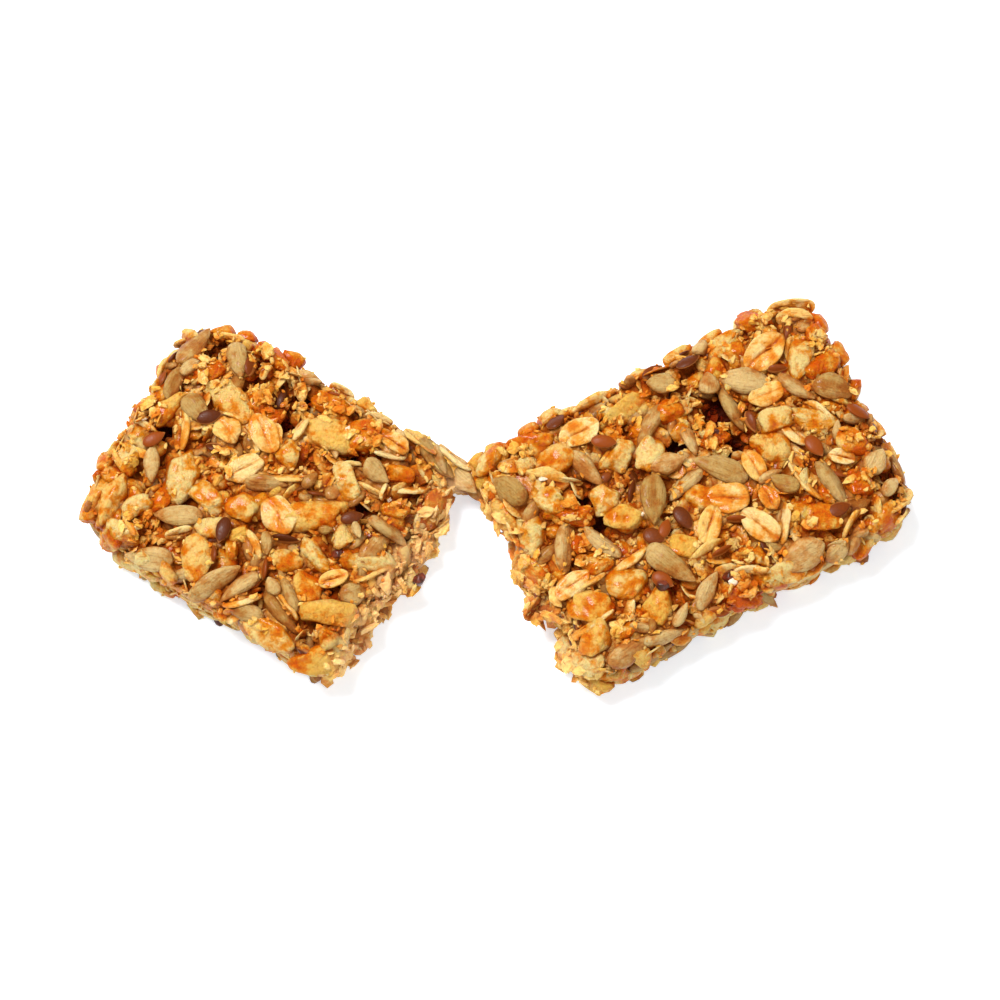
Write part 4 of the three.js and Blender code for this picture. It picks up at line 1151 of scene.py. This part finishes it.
def grainFinish(name, look):
    finish = Finish(name)
    place = finish.place()
    own = finish.attribute("own", "Vector")
    tone, glaze = finish.attribute("tone"), finish.attribute("glaze")
    edge, below, clear = (finish.attribute(name) for name in ("edge", "buried", "clear"))
    broad = finish.noise(place, grainShared["blotches"], detail=4)
    dabs = finish.noise(place, grainShared["dabs"], detail=5, roughness=0.6)
    fine = finish.noise(place, grainShared["fine"], detail=5, roughness=0.72)
    streak = finish.noise(finish.stretched(own, (0.3, 3.2, 3.2)), 1.0, detail=4)
    pit = 1 - finish.between(finish.cells(place, grainShared["fine"]), 0.05, 0.42)
    # low: painted shade deep between the pieces, partly darker syrup pooled there
    low = finish.between(below, 0.9, 3.6)

    # The bare grain: paler and warmer blotches, streaks, mottling, a paler rim and pits
    base = finish.blend(finish.between(0.6 * tone + 0.8 * broad, 0.35, 1.0), look["pale"], look["warm"])
    base = finish.stained(base, finish.between(streak, 0.45, 0.72) * look["streaks"] * 0.6, look["shadeAndStreak"])
    base = finish.stained(base, finish.between(fine, 0.42, 0.66) * look["mottle"], look["glaze"])
    if look["rim"]:
        base = finish.blend(finish.between(edge, 0.5, 0.9) * look["rim"], base, grainShared["rim"])
    base = finish.stained(base, pit * look["pits"], look["glaze"])

    # Syrup over it, left in dabs and creeping up the sides; up the lower sides it also stands for painted
    # shade, warmer there
    collar = 1 - finish.between(clear, 0.1, 1.1)
    patches = (broad - 0.5) * 2.1 + (dabs - 0.5) * 2.2
    wet = patches + glaze * 0.9 + edge * look["sideSyrupAndShade"] + collar * 0.28 - 0.18
    mask = finish.between(wet, 0.02, 0.56) * look["takes"]
    thick = finish.between(wet, 0.42, 0.95) * 0.9 * look["takes"]
    colour = finish.stained(finish.stained(base, mask, look["glaze"]), thick, look["glaze"])
    if look["crease"]:
        across = finish.node("ShaderNodeSeparateXYZ", {}, {0: own}, output=1)
        wander = finish.noise(finish.stretched(own, (0.5, 0.5, 0.5)), 1.0) - 0.5
        line = finish.node("ShaderNodeMath", {"operation": "ABSOLUTE"}, {0: across + wander * 0.5})
        folded = (1 - finish.between(line, 0.05, 0.3)) * look["crease"]
        colour = finish.stained(colour, folded, look["glaze"])

    # Painted shade, partly the syrup's own dark line and syrup pooled low: darker where it meets the syrup,
    # at its lower rim and deep between the others
    outline = (1 - finish.between(clear, 0, 0.5)) * 0.75
    deepest = finish.between(below, 2.8, 5.5)
    for share in (outline, finish.between(edge, 0.8, 1) * 0.35, low, deepest):
        colour = finish.stained(colour, share, look["shadeAndStreak"])
    freckle = finish.between(finish.noise(place, grainShared["freckles"], detail=2), 0.58, 0.7)
    colour = finish.stained(colour, freckle * 0.25, grainShared["freckle"])
    # Paler near a tear: partly the fresh crumb, partly painted light on a torn face turned from the lamps
    paleAndLit = finish.attribute("torn") * (1 - glaze)
    colour = finish.blend(paleAndLit * 0.6, colour, grainShared["torn"])
    height = fine * look["grain"] + streak * look["streaks"] * 0.6 - pit * look["pits"] * 0.4
    return finish.close({
        "Base Color": colour, "Roughness": look["roughness"] - 0.16 * mask + 0.1 * fine,
        "Normal": finish.bumped(height - dabs * look["dips"], 0.7),
        "Coat Weight": mask * (1 - low) * 0.28, "Coat Roughness": 0.12, "Specular IOR Level": 0.06,
        "Subsurface Weight": 0.22, "Subsurface Radius": (1.0, 0.6, 0.25),
        "Subsurface Scale": 1.1 * mm,
    })


# The colour below is the painted shade of a seed lying deep among the others
flax = {"skin": ("#863E0C", "#502208"), "rim": "#B0703A", "below": "#3A1A0C"}


def flaxFinish(name):
    finish = Finish(name)
    own, edge = finish.attribute("own", "Vector"), finish.attribute("edge")
    tone, below = finish.attribute("tone"), finish.attribute("buried")
    fine = finish.noise(finish.stretched(own, (1.2, 2.5, 2.5)), 1.6, detail=4)
    colour = finish.blend(finish.between(tone + fine * 0.5, 0.3, 1.2), *flax["skin"])
    colour = finish.blend(finish.between(edge, 0.68, 0.95) * 0.75, colour, flax["rim"])
    # Painted shade where the seed lies deep among the others
    colour = finish.blend(finish.between(below, 0.8, 3) * 0.6, colour, flax["below"])
    return finish.close({
        "Base Color": colour, "Roughness": 0.3 + 0.16 * fine, "Normal": finish.bumped(fine, 0.15, 0.6),
        "Coat Weight": 0.15 * finish.between(fine, 0.4, 0.6), "Coat Roughness": 0.16,
        "Specular IOR Level": 0.12,
    })


# The low and deepest colours are painted shade deep between the pieces, partly darker syrup pooled there; the
# torn colour makes a torn face paler, partly painted light
caramel = {
    "blotches": 300, "fine": 1300, "grains": 1150,  # noise and cells to the metre
    "syrup": ("#EEB654", "#D48E2E"), "grain": "#F0C070", "low": "#94602C", "deepest": "#8A5C30",
    "torn": "#F0CC96",
}


def syrupFinish(name):
    finish = Finish(name)
    place, below = finish.place(), finish.attribute("buried")
    broad = finish.noise(place, caramel["blotches"], detail=4)
    fine = finish.noise(place, caramel["fine"], detail=5, roughness=0.7)
    grain = finish.cells(place, caramel["grains"])
    low = finish.between(below, 0.3, 2.2)
    colour = finish.blend(finish.between(broad + fine * 0.4, 0.45, 0.95), *caramel["syrup"])
    colour = finish.blend(finish.between(grain, 0.25, 0.6), caramel["grain"], colour)
    # Painted shade deep between the pieces, partly darker syrup pooled there
    colour = finish.stained(colour, low, caramel["low"])
    colour = finish.stained(colour, finish.between(below, 2.8, 5.5), caramel["deepest"])
    # Paler on a torn face: partly fresh syrup, partly painted light
    colour = finish.blend(finish.attribute("torn") * 0.6, colour, caramel["torn"])
    return finish.close({
        "Base Color": colour, "Roughness": 0.3 + 0.25 * fine,
        "Normal": finish.bumped(fine * 0.6 + broad - 0.9 * grain, 0.5),
        "Coat Weight": 0.5 * broad * (1 - low), "Coat Roughness": 0.12, "Specular IOR Level": 0.06,
        "Subsurface Weight": 0.15, "Subsurface Radius": (1.0, 0.55, 0.2),
        "Subsurface Scale": 1.4 * mm,
    })


bitLooks = {
    "driedBerry": {"colours": ("#36120C", "#742C16"), "change": (0.35, 0.65), "fine": 900,
                   "bump": (0.2, 0.5), "roughness": 0.22, "coat": 0.4},
    # Small white to cream flecks on the pieces
    "whiteFleck": {"colours": ("#E8DCC6", "#C9AE88"), "change": (0.4, 0.7), "fine": 1200,
                   "bump": (0.15, 0.4), "roughness": 0.4, "coat": 0},
}


def bitFinish(name):
    look = bitLooks[name]
    finish = Finish(name)
    fine = finish.noise(finish.place(), look["fine"], detail=4)
    sockets = {
        "Base Color": finish.blend(finish.between(fine, *look["change"]), *look["colours"]),
        "Roughness": look["roughness"] + 0.2 * fine, "Normal": finish.bumped(fine, *look["bump"]),
    }
    if look["coat"]:
        sockets |= {"Coat Weight": look["coat"] * fine, "Coat Roughness": 0.08}
    return finish.close(sockets)


# One mesh for each kind
def dressObject(obj, material, smooth=True):
    obj.data.materials.append(material)
    obj.data.polygons.foreach_set("use_smooth", [smooth] * len(obj.data.polygons))
    intoScene(obj)
    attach(obj, "root")
    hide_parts("granola_bar")


def addValues(mesh, name, values):
    kind, key = ("FLOAT_VECTOR", "vector") if values.ndim == 2 else ("FLOAT", "value")
    layer = mesh.attributes.new(name, kind, "POINT")
    layer.data.foreach_set(key, values.astype(np.float32).ravel())


def makeHeap(pieceName, heapName, material, smooth=True):
    gathered = heaps[heapName].gather()
    points = gathered["points"]
    mesh = bpy.data.meshes.new(pieceName)
    mesh.from_pydata(points * mm, [], gathered["faces"])
    for key in ("own", "tone", "glaze", "edge"):
        addValues(mesh, key, gathered[key])
    addValues(mesh, "buried", buriedDepth(points))
    addValues(mesh, "clear", fromSyrup(points))
    addValues(mesh, "torn", paleAndLitTorn(points))
    dressObject(bpy.data.objects.new(pieceName, mesh), material, smooth)
    print(pieceName, "triangles:", len(mesh.polygons))


makeHeap("puffedCrisps", "crisp", grainFinish("toastedCrisp", grains["crisp"]))
makeHeap("rolledOats", "oat", grainFinish("rolledOat", grains["oat"]))
makeHeap("sunflowerKernels", "kernel", grainFinish("sunflowerKernel", grains["kernel"]))
makeHeap("flaxSeeds", "seed", flaxFinish("flaxSkin"))
makeHeap("grainCrumbs", "crumb", grainFinish("glazedCrumb", grains["crumb"]), smooth=False)
makeHeap("berryBits", "berry", bitFinish("driedBerry"))
makeHeap("whiteBits", "whiteBit", bitFinish("whiteFleck"))
addValues(binderMesh, "buried", buriedDepth(binderPoints))
addValues(binderMesh, "torn", paleAndLitTorn(binderPoints))
binderMesh.materials.clear()
dressObject(bpy.data.objects.new("syrupBinder", binderMesh), syrupFinish("caramelSyrup"))

# Floor, light and camera; the floor and the lights are in metres
studio = {
    "floor": {"size": 6.0, "colour": "#E8F3FF", "glow": 0.52},
    "world": {"colour": "#FFEAD0", "strength": 0.54},
    "lights": {  # place, size, power
        "key": [(-0.36, 0.3, 0.95), 0.5, 14.3],
        "fill": [(0.5, -0.5, 1.0), 1.0, 2.4],
    },
}
view = {"target": (0.33, -1, 6), "elevation": 73, "distance": 600, "pictureWidth": 166.7,
        "sensor": 36, "nearest": 10}


def makeFloor(look):
    bm = bmesh.new()
    bmesh.ops.create_grid(bm, x_segments=1, y_segments=1, size=look["size"] / 2)
    mesh = bpy.data.meshes.new("floor")
    bm.to_mesh(mesh)
    bm.free()
    floor = bpy.data.objects.new("floor", mesh)
    intoScene(floor)
    mesh.materials.append(Finish("paleFloor").close({
        "Base Color": look["colour"], "Roughness": 0.9, "Specular IOR Level": 0.1,
        "Emission Color": look["colour"], "Emission Strength": look["glow"],
    }))


def makeLight():
    world = bpy.data.worlds.new("studio")
    world.use_nodes = True
    background = world.node_tree.nodes["Background"]
    background.inputs["Color"].default_value = paint(studio["world"]["colour"])
    background.inputs["Strength"].default_value = studio["world"]["strength"]
    bpy.context.scene.world = world
    for name, (place, size, power) in studio["lights"].items():
        light = bpy.data.lights.new(name, "AREA")
        light.shape = "DISK"
        light.size = size
        light.energy = power
        lamp = bpy.data.objects.new(name, light)
        intoScene(lamp)
        lamp.location = place
        lamp.rotation_euler = (-lamp.location).to_track_quat("-Z", "Y").to_euler()


def makeCamera():
    camera = bpy.data.objects.new("camera", bpy.data.cameras.new("camera"))
    intoScene(camera)
    tilt = math.radians(view["elevation"])
    away = Vector((0, -math.cos(tilt), math.sin(tilt)))
    camera.location = (Vector(view["target"]) + away * view["distance"]) * mm
    camera.rotation_euler = (-away).to_track_quat("-Z", "Y").to_euler()
    camera.data.sensor_width = view["sensor"]
    camera.data.lens = view["sensor"] * view["distance"] / view["pictureWidth"]
    camera.data.clip_start = view["nearest"] * mm
    bpy.context.scene.camera = camera


makeFloor(studio["floor"])
makeLight()
makeCamera()
bpy.context.scene.view_settings.view_transform = "Standard"
print("studio ready")
